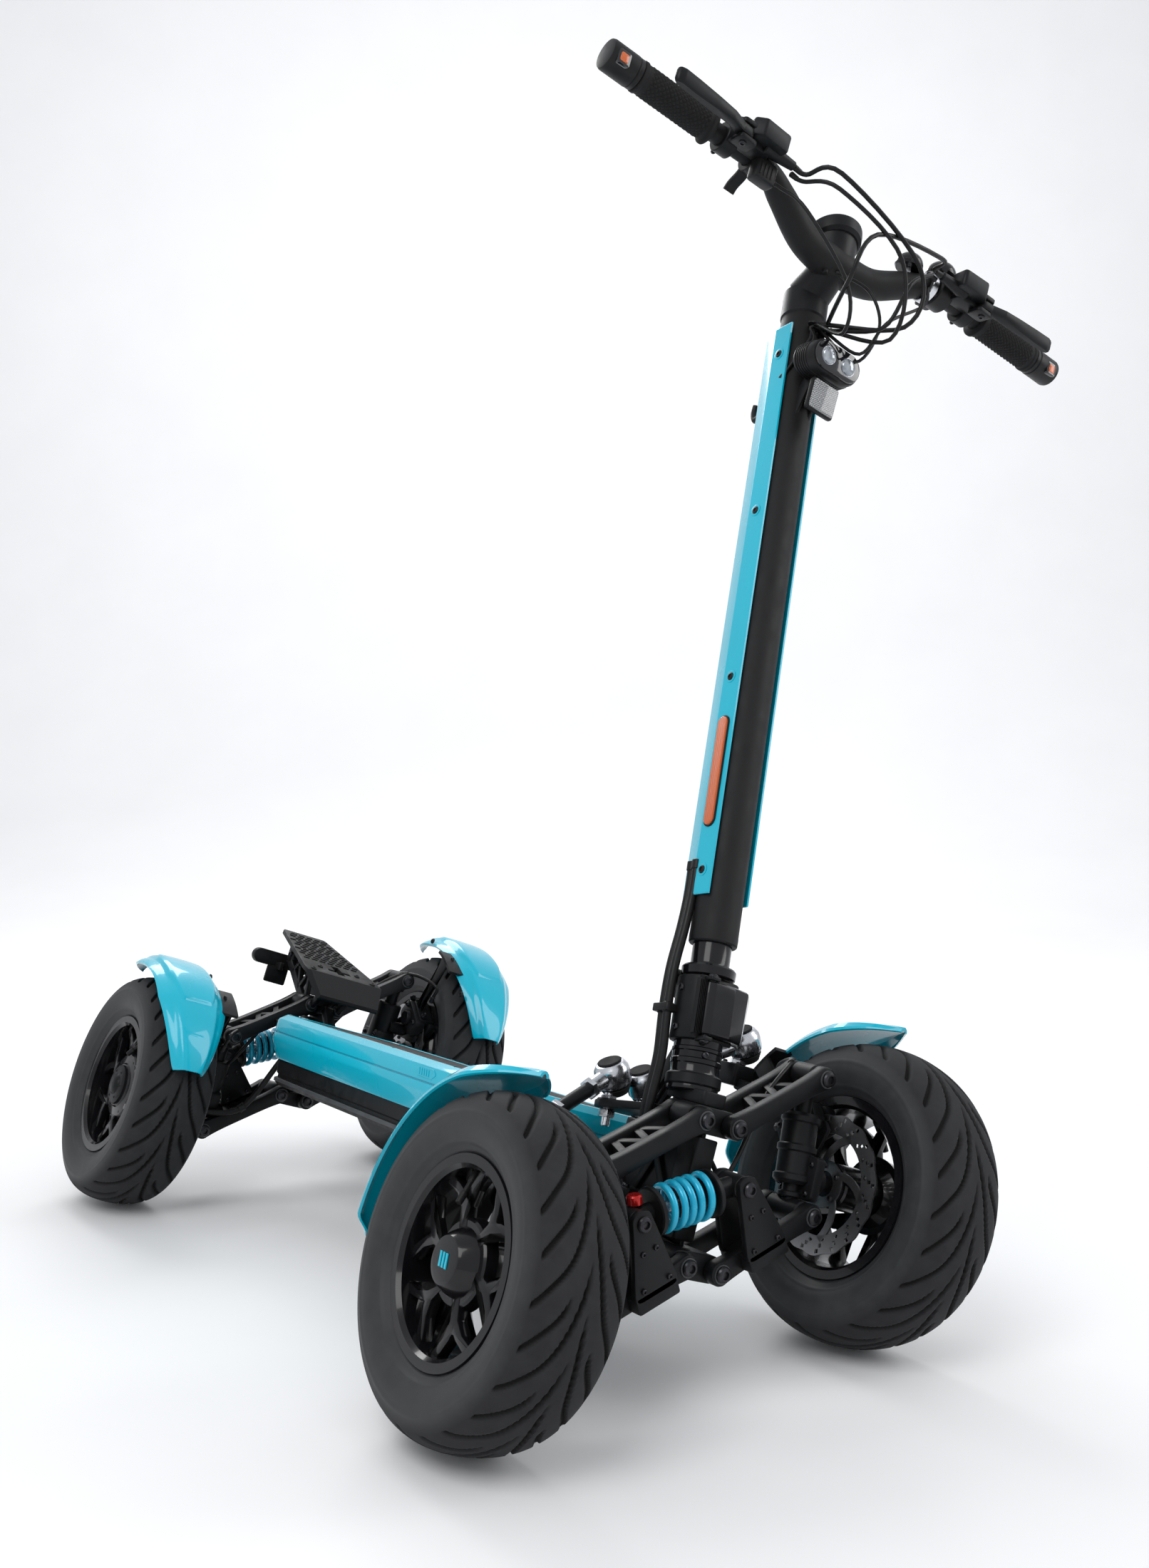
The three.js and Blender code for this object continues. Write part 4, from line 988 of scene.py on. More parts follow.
def arm_bolts(body, place, side, inward, shift, gap):
    """Pivot bolts with washers at both ends of both pivots."""
    near, far = shift - gap / 2 - 14, shift + gap / 2 + 14
    bolts = Piece(place)
    washers = Piece(place)
    for x in (0, side * ARM):
        for y, way in ((inward * near, -inward), (inward * far, inward)):
            washers.turned([(y, 0), (y, 9.2), (y + way * 1.2, 9.2), (y + way * 1.2, 0)], "y", (x, 0, 0), 40)
            bolts.bolt((x, y + way * 1.2, 0), (0, way, 0), 8, 4.6, 28)
    washers.finish(f"{body}_washers", body, grey_casting())
    bolts.finish(f"{body}_bolts", body, dark_steel())


def upper_arm(end, side):
    """Upper wishbone with its pivot bolts."""
    body = f"{end}_{side}_upper_arm"
    place = place_of(body, -ARM_ANGLE)
    piece = Piece(place)
    wishbone(piece, SIGN[side], INWARD[end], CASTER, 30)
    piece.finish(f"{body}_frame", body, satin_black(), [body])
    arm_bolts(body, place, SIGN[side], INWARD[end], CASTER, 30)


def lower_arm(end, side):
    """Lower wishbone with the two plates that hold the damper's eye."""
    body = f"{end}_{side}_lower_arm"
    s, inward = SIGN[side], INWARD[end]
    place = place_of(body, -ARM_ANGLE)
    piece = Piece(place)
    wishbone(piece, s, inward, 0, 46)
    ex, ez = TOWER_EYE
    wall = rounded([(s * (ex - 22), 2), (s * (ex - 13), ez - 8), (s * (ex - 10), ez + 9), (s * ex, ez + 13),
                    (s * (ex + 10), ez + 9), (s * (ex + 14), ez - 8), (s * (ex + 30), 2)], 7, 4)
    for y in (-52, -15):
        a, b = sorted((inward * y, inward * (y + 7)))
        piece.slab(wall, "y", a, b, 1.2)
    a, b = sorted((inward * -52, inward * -8))
    piece.block((s * (ex - 20), s * (ex + 28)), (a, b), (-8, 9), 3, 1.5, "y")
    piece.rod((s * ex, inward * -46, ez), (s * ex, inward * -14, ez), 5, sides=20)
    piece.finish(f"{body}_frame", body, satin_black(), [body])
    arm_bolts(body, place, s, inward, 0, 46)
    bolts = Piece(place)
    for y, way in ((-52, -1), (-8, 1)):
        bolts.bolt((s * ex, inward * y, ez), (0, inward * way, 0), 7.5, 4.2, 24)
        for x, z in ((ex - 12, 12), (ex + 18, 12), (ex - 6, 44), (ex + 9, 44)):
            bolts.bolt((s * x, inward * y, z), (0, inward * way, 0), 2.8, 2.2, 14)
    bolts.finish(f"{body}_tower_bolts", body, dark_steel())


def swivel(height, inward):
    """The point of an upright's leaning axis at a height over its lower pivot."""
    return np.array([0, inward * CASTER * height / POST, height])


def upright(piece, inward):
    """Round post between an upper and a lower pivot tube, with a collar near each."""
    piece.rod((0, -22, 0), (0, 22, 0), 12, sides=36, bevel=1.5)
    piece.rod((0, inward * CASTER - 14, POST), (0, inward * CASTER + 14, POST), 12, sides=36, bevel=1.5)
    piece.rod(swivel(5, inward), swivel(128, inward), 9, sides=32)
    for h in (14, 119):
        piece.rod(swivel(h - 3, inward), swivel(h + 3, inward), 13, sides=36, bevel=1.2)


WHEEL_OUT = 0.5 * TRACK * math.cos(LEAN) - 21 - ARM * math.cos(ARM_ANGLE)
WHEEL_UP = 32.1


def stub(piece, s):
    """Stub axle: a thick root and the thinner end inside the wheel."""
    piece.rod((s * 4, 0, WHEEL_UP), (s * (WHEEL_OUT - 63), 0, WHEEL_UP), 16, 14, 36, 1.5)
    piece.rod((s * 4, 0, WHEEL_UP), (s * (WHEEL_OUT + 14), 0, WHEEL_UP), 7.9, sides=28)


def front_carrier(side):
    """Front upright, that the steered knuckle turns on."""
    body = f"front_{side}_carrier"
    piece = Piece(place_of(body))
    upright(piece, 1)
    piece.finish(f"{body}_post", body, satin_black(), [body])


def knuckle(side):
    """Steered hub: a clamped sleeve with fins, its arm to the tie rod and the block under the ball joint."""
    s = SIGN[side]
    body = f"front_{side}_knuckle"
    place = place_of(body)
    piece = Piece(place)
    piece.rod(swivel(24, 1), swivel(94, 1), 18, sides=40, bevel=2)
    for h in (30, 59, 88):
        piece.rod(swivel(h - 4, 1), swivel(h + 4, 1), 20, sides=40, bevel=1.5)
    stub(piece, s)
    piece.block((s * 2, s * 14), (-24, 24), (WHEEL_UP - 20, WHEEL_UP + 24), 6, 2, "x")
    arm = rounded([(8, 70), (34, 86), (115, 101), (117, 113), (60, 106), (30, 100), (8, 96)], 3, 4)
    piece.slab(arm, "x", -8, 8, 2)
    top = BALL_Z - LOWER_Z - 25
    piece.block((-14, 14), (110, 140), (top - 23, top), 4, 1.6, "z")
    piece.rod((s * 2, 22, WHEEL_UP + 30), (s * (WHEEL_OUT - 64.5), 22, WHEEL_UP + 30), 9, sides=24)
    piece.finish(f"{body}_cast", body, satin_black(), [body])
    bolts = Piece(place)
    bolts.rod((0, 125, top), (0, 125, top + 10), 5, sides=20)
    bolts.nut((0, 125, top), (0, 0, 1), 9, 5)
    bolts.finish(f"{body}_ball_nut", body, bright_zinc())
    screws = Piece(place)
    for z in (-13, 16):
        for y in (-17, 17):
            screws.bolt((s * 2, y, WHEEL_UP + z), (-s, 0, 0), 3, 2.8, 14)
    for y in (114, 136):
        screws.bolt((s * -9, y, top), (0, 0, 1), 2.6, 2.4, 14)
    screws.finish(f"{body}_screws", body, dark_steel())


def rear_carrier(side):
    """Rear upright with its clamp block, stub axle and screws."""
    s = SIGN[side]
    body = f"rear_{side}_carrier"
    place = place_of(body)
    piece = Piece(place)
    upright(piece, -1)
    piece.rod(swivel(22, -1), swivel(96, -1), 18, sides=40, bevel=2)
    piece.block((s * -15, s * 15), (-26, 20), (WHEEL_UP - 17, WHEEL_UP + 22), 6, 2, "x")
    stub(piece, s)
    piece.rod((s * 2, -22, WHEEL_UP + 30), (s * (WHEEL_OUT - 64.5), -22, WHEEL_UP + 30), 9, sides=24)
    piece.finish(f"{body}_cast", body, satin_black(), [body])
    bolts = Piece(place)
    for z in (-10, 14):
        for y in (-19, 13):
            bolts.bolt((s * -15, y, WHEEL_UP + z), (-s, 0, 0), 3, 2.8, 14)
    bolts.finish(f"{body}_screws", body, dark_steel())


SPRING_START = 38
SPRING_RADIUS = 19.5
EYE_SPAN = math.hypot(42 + 86.8 * math.cos(ARM_ANGLE), 86.8 * math.sin(ARM_ANGLE))
SPRING_END = EYE_SPAN - 32


def damper_half(piece, way, seat, neck, radius):
    """The eye, neck and spring seat of one half of a damper."""
    eye = [(-14, 5.2), (-14, 10), (-13, 11), (13, 11), (14, 10), (14, 5.2)]
    piece.turned(eye, "y", sides=40, closed=True)
    piece.rod((way * 5, 0, 0), (way * neck, 0, 0), radius, sides=32, bevel=1)
    ring = [(seat - 5, 0), (seat - 5, 21), (seat - 4, 22.6), (seat, 23), (seat + 0.6, 22), (seat, 0)]
    piece.turned([(way * h, r) for h, r in ring], sides=56)


def damper(end):
    """Damper between the two towers: the body's half, the rod's half with a knob, and the coil."""
    body = f"{end}_damper_body"
    place = place_of(body, -DAMPER_ANGLE)
    seat = SPRING_START - 4.6
    piece = Piece(place)
    damper_half(piece, -1, seat, seat, 10)
    piece.rod((-seat, 0, 0), (-SPRING_END + 22, 0, 0), 13.4, sides=36, bevel=1.4)
    piece.finish(f"{body}_can", body, satin_black(), [body])
    t = np.linspace(0, 1, 240)
    turns = 5
    flat = SPRING_START - 1.5
    span = SPRING_END - SPRING_START + 3
    ease = t + 0.03 * np.sin(TAU * t)
    path = np.stack([-flat - ease * span, SPRING_RADIUS * np.cos(t * turns * TAU),
                     SPRING_RADIUS * np.sin(t * turns * TAU)], -1)
    coil = Piece(place)
    coil.sweep(path, 3.5, 14)
    coil.finish(f"{end}_damper_coil", body, spring_cyan(), [f"{end}_damper_spring"])
    rod_body = f"{end}_damper_rod"
    place = place_of(rod_body, -DAMPER_ANGLE)
    seat = EYE_SPAN - SPRING_END - 4.6
    piece = Piece(place)
    damper_half(piece, 1, seat, seat - 3, 9)
    piece.finish(f"{rod_body}_end", rod_body, satin_black(), [rod_body])
    chrome = Piece(place)
    chrome.rod((seat, 0, 0), (EYE_SPAN - 42, 0, 0), 5.8, sides=28)
    chrome.finish(f"{rod_body}_shaft", rod_body, bright_zinc())
    knob = Piece(place)
    knob.turned([(11, 0), (11, 6.5), (12, 7.5), (19, 7.5), (20.5, 6), (20.5, 0)], "z", (7, 0, 0), 18)
    knob.finish(f"{rod_body}_knob", rod_body, red_anodised())


def tie_rod(side):
    """Tie rod: ball housings with seams and bellows at both ends, lock nuts and a black tube."""
    s = SIGN[side]
    body = f"tie_rod_{side}"
    place = place_of(body, -ARM_ANGLE)
    out = np.array([s * ARM, -26.0, 0])
    way = out / np.linalg.norm(out)
    ends = Piece(place)
    cups = [(-14, 0), (-14, 13), (-12, 17), (-9, 18.6), (2, 19), (7, 18.4), (9, 17), (12, 15.4), (13, 13),
            (13, 0)]
    for at, toward in ((np.zeros(3), way), (out, -way)):
        ends.turned(cups, "z", at, 48)
        ends.rod(at + toward * 14, at + toward * 36, 9.5, 8.6, 28, 1.2)
        ends.nut(at + toward * 33, toward, 11.5, 6)
    ends.finish(f"{body}_ends", body, bright_zinc(), [body])
    tube = Piece(place)
    tube.rod(way * 34, out - way * 34, 7.4, sides=28)
    tube.finish(f"{body}_tube", body, satin_black())
    boots = Piece(place)
    for at in (np.zeros(3), out):
        ribs = [(-14, 0)]
        for i in range(9):
            ribs.append((-14 - i * 1.1, 15 - 0.6 * i + (1.5 if i % 2 else 0)))
        ribs.append((-24, 0))
        boots.turned(ribs, "z", at, 40)
        boots.turned([(13, 0), (13, 12), (14, 13), (15, 12), (15, 0)], "z", at, 32)
    boots.finish(f"{body}_bellows", body, soft_rubber())
    stud_body = f"tie_rod_stud_{side}"
    stud_place = Place(JOINT[stud_body]["pos_m"], COLUMN.turn)
    stud = Piece(stud_place)
    stud.rod((0, 0, -54), (0, 0, -20), 5, sides=20)
    stud.nut((0, 0, -37), (0, 0, -1), 9, 8)
    stud.nut((0, 0, -27.6), (0, 0, 1), 8.6, 4.6)
    stud.finish(f"{stud_body}_bolt", stud_body, bright_zinc(), [stud_body])


def subframe(end):
    """Subframe of one axle: pivot blocks, spine with lightening webs and the beam to the deck."""
    inward = INWARD[end]

    def at(y):
        return inward * (y - AXLE_Y)

    end_y = -279.5 if end == "front" else 363.5
    piece = Piece(CHASSIS)
    for z, middle, half in ((UPPER_Z, CASTER, 14), (LOWER_Z, 0, 22)):
        a, b = sorted((at(middle - half), at(middle + half)))
        piece.slab(link((-21, z), (21, z), 13), "y", a, b, 1.5)
    a, b = sorted((at(3), at(31)))
    piece.block((-13, 13), (a, b), (134, 232), 3, 1.5)
    chords = [((at(8), 124), (end_y, 144), 6), ((at(20), 244), (at(58), 246), 6),
              ((at(58), 246), (at(100), 206), 6), ((at(100), 206), (end_y, 160), 6),
              ((at(30), 150), (at(70), 206), 4.5), ((at(70), 206), (at(98), 152), 4.5),
              ((at(98), 152), (at(130), 184), 4)]
    for p, q, r in chords:
        piece.slab(link(p, q, r), "x", -6.5, 6.5, 1.2)
    web = rounded([(at(4), 122), (end_y, 144), (end_y, 160), (at(100), 204), (at(60), 248),
                   (at(12), 246)], 4, 3)
    piece.slab(web, "x", -2.5, 2.5, 0.4)
    a, b = sorted((at(64), end_y))
    piece.block((-34, 34), (a, b), (136, 166), 5, 2)
    bolts = Piece(CHASSIS)
    for y in (at(76), at(100), at(124)):
        for x in (-27, 27):
            bolts.bolt((x, y, 166), (0, 0, 1), 4, 3.4, 16)
        bolts.bolt((6.5, y, 150), (1, 0, 0), 3, 2.6, 14)
        bolts.bolt((-6.5, y, 150), (-1, 0, 0), 3, 2.6, 14)
    for x in (-21, 21):
        bolts.bolt((x, at(CASTER) - 30, UPPER_Z), (0, -1, 0), 6, 2, 20)
        bolts.bolt((x, at(0) - 38, LOWER_Z), (0, -1, 0), 6, 2, 20)
    bolts.finish(f"{end}_subframe_bolts", "chassis", dark_steel())
    return piece


def front_frame():
    """Front subframe with the collar and gusset that hold the steering column's base."""
    piece = subframe("front")
    piece.rod(on_axis(127), on_axis(139), 28, sides=48, bevel=1.5)
    piece.block((-15, 15), (-457, -399), (262, 276), 4, 1.6)
    piece.block((-7, 7), (-455, -400), (236, 266), 3, 1)
    piece.finish("front_subframe_frame", "chassis", satin_black(), ["front_subframe"])


def rear_frame():
    """Rear subframe and the truss bracket that holds the footplate and the light."""
    piece = subframe("rear")
    bars = [((404, 262), (430, 238), 5), ((430, 238), (534, 306), 6), ((400, 286), (532, 320), 5),
            ((404, 262), (398, 284), 5), ((440, 246), (452, 296), 3.2), ((452, 296), (474, 268), 3.2),
            ((474, 268), (492, 306), 3.2), ((492, 306), (506, 290), 3.2)]
    for side in (-1, 1):
        for p, q, r in bars:
            piece.slab(link(p, q, r), "x", side * 17, side * 24, 1)
    for (y, z) in ((406, 276), (434, 242), (528, 312)):
        piece.rod((-23, y, z), (23, y, z), 6, sides=24)
    piece.block((-24, 24), (520, 541), (300, 327), 3, 1.5)
    piece.block((-11, 11), (437, 460), (234, 262), 3, 1)
    piece.finish("rear_subframe_frame", "chassis", satin_black(), ["rear_subframe"])
    bolts = Piece(CHASSIS)
    for side in (-1, 1):
        for y, z in ((406, 276), (434, 242), (528, 312), (454, 290), (490, 302)):
            bolts.bolt((side * 24, y, z), (side, 0, 0), 4.4, 3.4, 18)
    bolts.finish("rear_bracket_bolts", "chassis", dark_steel())


# ---- Deck -------------------------------------------------------------------------------------------
DECK_FRONT, DECK_REAR, DECK_HALF, DECK_TOP = -288, 372, 98, 229


def deck_plan(offset, corner=26):
    """The deck's outline seen from above, moved inwards by the offset."""
    x = DECK_HALF - offset
    y0, y1 = DECK_FRONT + offset, DECK_REAR - offset
    nose = 40
    corners = [(-x + nose, y0), (x - nose, y0), (x, y0 + 16), (x, y1 - 16), (x - nose, y1), (-x + nose, y1),
               (-x, y1 - 16), (-x, y0 + 16)]
    return rounded(corners, corner, 7)


def deck_ring(piece, profile):
    """A closed section of (offset, z) carried round the deck's outline."""
    piece.grid(np.array([level(deck_plan(offset), z) for offset, z in profile]), along=True)


def deck():
    """Cyan covers with a bright upper bevel, a groove and a lower bevel; ribbed top; dark tray below."""
    covers = Piece(CHASSIS)
    bevels = [(18.5, 228), (17.5, 229), (9.5, 229.3), (8, 228.8), (1.2, 221.5), (0.4, 219), (0, 206)]
    groove = [(0.2, 204.6), (2.2, 204.2), (2.2, 202.8), (0.2, 202.4), (0, 201), (0, 194), (0.6, 191.5)]
    back = [(8.6, 171), (10, 169.5), (13, 169.5), (13, 176), (7, 194), (7, 218), (18.5, 224)]
    deck_ring(covers, bevels + groove + back)
    covers.finish("deck_covers", "chassis", cyan_paint(), ["side_cover_left", "side_cover_right"], angle=24)
    top = Piece(CHASSIS)
    top.slab(deck_plan(18.9, 22), "z", 221, DECK_TOP - 0.6, 1.2)
    top.finish("deck_grip_top", "chassis", deck_grip(), ["deck_top"])
    tray = Piece(CHASSIS)
    walls = [(14, 218), (14, 160), (15, 152), (17, 150), (17, 146.5), (15.5, 146), (15.5, 140), (19, 136)]
    tray.grid(np.array([level(deck_plan(offset, 18), z) for offset, z in walls]))
    tray.finish("deck_tray_shell", "chassis", black_plastic(), ["deck_tray", "battery_pack"])
    rim = Piece(CHASSIS)
    deck_ring(rim, [(13.5, 145.4), (13, 145), (13, 141), (13.5, 140.4), (16, 140.4), (16, 145.4)])
    rim.finish("deck_tray_rim", "chassis", grey_casting())
    emblems()


def emblems():
    """Plain recessed plaques on both covers, in place of any mark, and the covers' screws."""
    plaque = Piece(CHASSIS)
    screws = Piece(CHASSIS)
    for s in (1, -1):
        outline = rounded([(-92, 208), (-60, 208), (-52, 214), (-60, 219.5), (-92, 219.5),
                           (-100, 214)], 2, 3)
        plaque.slab(outline, "x", s * 97.4, s * 98.5, 0.4)
        for i in range(5):
            y = -86 + i * 5.4
            plaque.slab(rounded([(y, 210), (y + 2, 210), (y + 5, 217.5), (y + 3, 217.5)], 0.4, 2), "x",
                        s * 98.3, s * 99.2, 0.2)
        for y in (-240, -130, 20, 170, 320):
            screws.bolt((s * 91.5, y, 181), (s * 0.92, 0, -0.38), 3.2, 1.6, 16)
            screws.bolt((s * 87, y + 12, 229.1), (0, 0, 1), 2.6, 1.0, 14)
    plaque.finish("deck_plaques", "chassis", cyan_paint(), angle=20)
    screws.finish("deck_screws", "chassis", dark_steel())


def footplate():
    """Inclined plate with a thick front lip, a cross-shaped opening and rows of short raised bars."""
    slope = math.atan2(50, 177)
    place = CHASSIS.at(0, 381, 290, turn_x(slope))
    length = math.hypot(177, 50)
    piece = Piece(place)
    opening = [(0, 49), (-6, 49), (-6, 31), (-18, 31), (-18, 23), (-6, 23), (-6, 15), (0, 15)]
    outer = [(0, 0), (-59, 0), (-60, 2), (-60, 20), (-36, length - 4), (-33, length), (0, length)]
    for mirror in (1, -1):
        piece.slab([(x * mirror, y) for x, y in opening + outer], "z", 0, 6, 0.25)
    lip = Piece(CHASSIS)
    section = []
    for y, z in ((349, 262), (353, 260), (383, 289.5), (381, 296), (376, 296.5), (348, 266)):
        w = 46 + 14 * (y - 348) / 34
        section.append([(-w, y, z), (-w + 3, y, z), (w - 3, y, z), (w, y, z)])
    lip.grid(np.array(section).transpose(1, 0, 2))
    lip.finish("footplate_lip", "chassis", matt_black())
    for row in range(12):
        y = 58 + row * 10
        half = 57 - (y - 20) / (length - 20) * 24
        cells = int(half * 2 // 13)
        for i in range(cells):
            x = (i - (cells - 1) / 2) * 13 + (3 if row % 2 else -3)
            bar = [(x - 4.6, y - 1.6), (x + 4.6, y - 1.6), (x + 4.6, y + 1.6), (x - 4.6, y + 1.6)]
            piece.slab(rounded(bar, 1.2, 3), "z", 5.5, 7.4, 0.5)
    for x, y in ((-48, 10), (48, 10), (-30, 30), (30, 30), (-26, 166), (26, 166)):
        piece.bolt((x, y, 5.8), (0, 0, 1), 4.2, 2.4, 18)
    piece.finish("footplate_tread", "chassis", matt_black(), ["footplate"])


def tail_light():
    """Pill-shaped tail light with a dark lens and two red lamps, on its bracket, and a sensor block."""
    body = Piece(CHASSIS)
    body.slab(link((-56, 299), (56, 299), 11, steps=14), "y", 560, 572, 2)
    body.block((-9, 9), (541, 562), (296, 310), 3, 1.5)
    body.block((-44, -10), (552, 556), (264, 289), 3, 1, "y")
    body.block((-30, -24), (541, 560), (285, 296), 1, 0.5)
    body.finish("tail_light_body", "chassis", black_plastic(), ["tail_light"])
    lens = Piece(CHASSIS)
    lens.slab(link((-56, 299), (56, 299), 9, steps=14), "y", 571, 575, 1.6)
    lens.finish("tail_light_lens", "chassis", dark_lens())
    lamps = Piece(CHASSIS)
    for x in (-38, 38):
        lamps.slab(circle(4.5, 24) + [x, 299], "y", 574, 575.6, 0.5)
    lamps.finish("tail_light_lamps", "chassis", red_anodised())
    block = Piece(CHASSIS)
    block.block((26, 52), (548, 566), (262, 284), 4, 1.6)
    for y in (552, 562):
        block.bolt((52, y, 273), (1, 0, 0), 2.6, 2, 12)
    block.finish("rear_sensor_block", "chassis", grey_casting())


# ---- Steering, in the column's frame: Z along the steering axis -----------------------------------------
def column():
    """Base tube with rings and screws, pitman bracket, fin-backed clamp and the fold joint's lugs."""
    piece = Piece(COLUMN)
    piece.turned([(121.9, 0), (121.9, 25), (123, 26), (138, 26), (139.6, 25), (141, 24.5), (148, 24.5),
                  (149, 25.4), (153, 25.4), (154, 24.5), (160, 24.5), (161, 25.5), (164, 25.5), (165, 24.5),
                  (172, 24.5), (172, 0)], "z", sides=72)
    piece.finish("column_base", "steering_column", gloss_black())
    clamp = Piece(COLUMN)
    front = [(-26, -19), (-20, -21.5), (20, -21.5), (26, -19)]
    t = np.linspace(-0.64, math.pi + 0.64, 30)
    outline = np.vstack([front, np.stack([30 * np.cos(t), 30 * np.sin(t)], -1)])
    clamp.slab(outline, "z", 171, 235.6, 2)
    for i in range(8):
        x = -27.4 + i * 1.9
        y = -19.6 - 0.24 * i
        clamp.block((x - 0.5, x + 0.5), (y - 3.2, y + 2), (176, 231), 0.3, 0.3)
    for x0, x1 in ((-21, -12.5), (12.5, 21)):
        clamp.slab(link((18, 222), (29, 236), 10, 9), "x", x0, x1, 1.2)
    clamp.rod((-15, -26, 173), (-15, -26, 232), 4, sides=20)
    for z in (170, 230):
        clamp.block((-21, -9), (-32, -16), (z, z + 4), 2, 0.6)
    clamp.finish("column_clamp", "steering_column", satin_black(), ["steering_column"])
    pitman = Piece(COLUMN)
    ball_y = (BALL_Y - STEER_Y) * math.cos(RAKE) - (BALL_Z - STEER_Z) * math.sin(RAKE)
    ball_s = (BALL_Y - STEER_Y) * math.sin(RAKE) + (BALL_Z - STEER_Z) * math.cos(RAKE)
    top = ball_s - 28
    plan = rounded([(-16, 38), (16, 38), (34, ball_y - 2), (30, ball_y + 13), (-30, ball_y + 13),
                    (-34, ball_y - 2)], 6, 5)
    pitman.slab(plan, "z", top - 8, top, 1.5)
    for x in (-9, 9):
        cheek = [(16, 150), (26, 140), (62, top - 10), (62, top - 2), (24, 168), (16, 168)]
        pitman.slab(rounded(cheek, 3, 4), "x", x - 3, x + 3, 1)
    pitman.slab([(18, 152), (27, 143), (60, top - 8), (24, 164)], "x", -1.5, 1.5, 0.2)
    for x in (-21, 21):
        pitman.turned([(top, 0), (top, 12), (top + 1.5, 11), (top + 1.5, 0)], "z", (x, ball_y, 0), 36)
    pitman.finish("pitman_bracket", "steering_column", satin_black())
    screws = Piece(COLUMN)
    for z in (130, 157):
        screws.bolt((-9, -23.4, z), (-0.35, -1, 0), 3.4, 2.6, 18)
    for x, way in ((-30, -1), (30, 1)):
        screws.bolt((x, 2, 182), (way, 0, 0), 3.6, 2.6, 18)
        screws.bolt((x, 2, 222), (way, 0, 0), 3.6, 2.6, 18)
    screws.nut((21, 29, 236), (1, 0, 0), 7, 4)
    screws.nut((-21, 29, 236), (-1, 0, 0), 7, 4)
    screws.finish("column_screws", "steering_column", dark_steel())


def clamp_lever():
    """Big smooth wedge that wraps the column's front and stands out on one side: its plan widens upwards."""
    plan = rounded([(-15, -33), (9, -34.4), (30, -29.5), (46, -13), (44, -8), (30, -19.6), (20, -22.3),
                    (-8, -22.3), (-11, -20), (-19, -22), (-22, -28)], 2.6, 5)
    piece = Piece(COLUMN)
    rings = []
    for z, grow in ((175, 2.4), (177, 0.5), (180, 0), (191, 0), (202, 0), (216, 0), (225, 0), (227.5, 0.5),
                    (229, 2.4)):
        ring = inset(plan, grow)
        ring[:, 0] *= 1 + 0.05 * (z - 202) / 27 * (ring[:, 0] > 20)
        rings.append(level(ring, z))
    piece.grid(np.array(rings))
    piece.finish("clamp_lever_blade", "clamp_lever", gloss_black(), ["clamp_lever"], angle=24)
    cap = Piece(COLUMN)
    cap.bolt((-15, -26, 234), (0, 0, 1), 5, 3, 24)
    cap.bolt((-15, -26, 170), (0, 0, -1), 5, 3, 24)
    cap.finish("clamp_lever_pin", "clamp_lever", dark_steel())


def stem():
    """Matt outer tube, gloss inner tube with the fold joint's tongue, and the cover."""
    tube = Piece(COLUMN)
    tube.turned([(272, 0), (272, 24), (273.4, 25), (281, 25.2), (283, 25), (1018, 25), (1020, 24.4),
                 (1020, 21.5), (1000, 21.5), (1000, 0)], "z", sides=72)
    tube.finish("stem_outer_tube", "stem", matt_black(), ["stem_tube"])
    inner = Piece(COLUMN)
    inner.turned([(236.6, 0), (236.6, 26), (238, 27.6), (246, 28), (248, 26.4), (249, 21), (251, 20),
                  (273, 20), (273, 0)], "z", sides=64)
    inner.slab(link((17, 243), (29, 236), 8), "x", -11.5, 11.5, 1)
    inner.rod((-20.5, 29, 236), (20.5, 29, 236), 4, sides=20)
    inner.finish("stem_inner_tube", "stem", gloss_black())
    cover()


def cover():
    """Bent sheet cover of five flats, with dimpled screws, side reflectors and a hook."""
    bends = rounded([(28, -30), (28.7, 11), (19, 36.6), (-19, 36.6), (-28.7, 11), (-28, -30)], 3.5, 5)[5:-5]
    edge = np.vstack([(28, -14), bends, (-28, -14)])
    loop = loop_of(edge, -2.2)
    piece = Piece(COLUMN)
    rings = []
    for s, shrink in ((319, 1.2), (320.5, 0), (998.5, 0), (1000, 1.2)):
        ring = loop.copy()
        ring[:len(edge)] *= 1 - shrink / 60
        rings.append(level(ring, s))
    piece.grid(np.array(rings))
    piece.finish("stem_cover_shell", "stem", cyan_paint(), ["stem_cover"], angle=14)
    screws = Piece(COLUMN)
    cups = Piece(COLUMN)
    for s in (345, 560, 760, 962):
        for side in (1, -1):
            screws.bolt((side * 28.3, 0, s), (side, 0, 0), 4.4, 1.8, 20)
            cup = [(27.6, 0), (27.6, 6.6), (28.7, 7), (28.9, 6.2), (28.5, 0)]
            cups.turned([(side * h, r) for h, r in cup], "x", (0, 0, s), 32)
    screws.finish("stem_cover_screws", "stem", black_plastic())
    cups.finish("stem_cover_dimples", "stem", cyan_paint())
    lens = Piece(COLUMN)
    surround = Piece(COLUMN)
    for side in (1, -1):
        lens.slab(link((0, 400), (0, 506), 7.4, steps=12), "x", side * 28.4, side * 31.4, 1.2)
        surround.slab(link((0, 400), (0, 506), 9, steps=12), "x", side * 27.4, side * 29.6, 0.6)
    lens.finish("stem_side_reflectors", "stem", amber_lens())
    surround.finish("stem_reflector_frames", "stem", black_plastic())
    hook = Piece(COLUMN)
    path = smooth([(0, 35, 930), (0, 43, 926), (0, 52, 914), (0, 60, 912), (0, 64, 922), (0, 63, 932)], 5)
    hook.sweep(path, np.linspace(5, 3.6, len(path)), 16)
    hook.block((-10, 10), (34, 39), (914, 946), 4, 1.5, "y")
    hook.bolt((0, 39, 940), (0, 1, 0), 3, 2, 14)
    hook.finish("stem_hook", "stem", black_plastic())


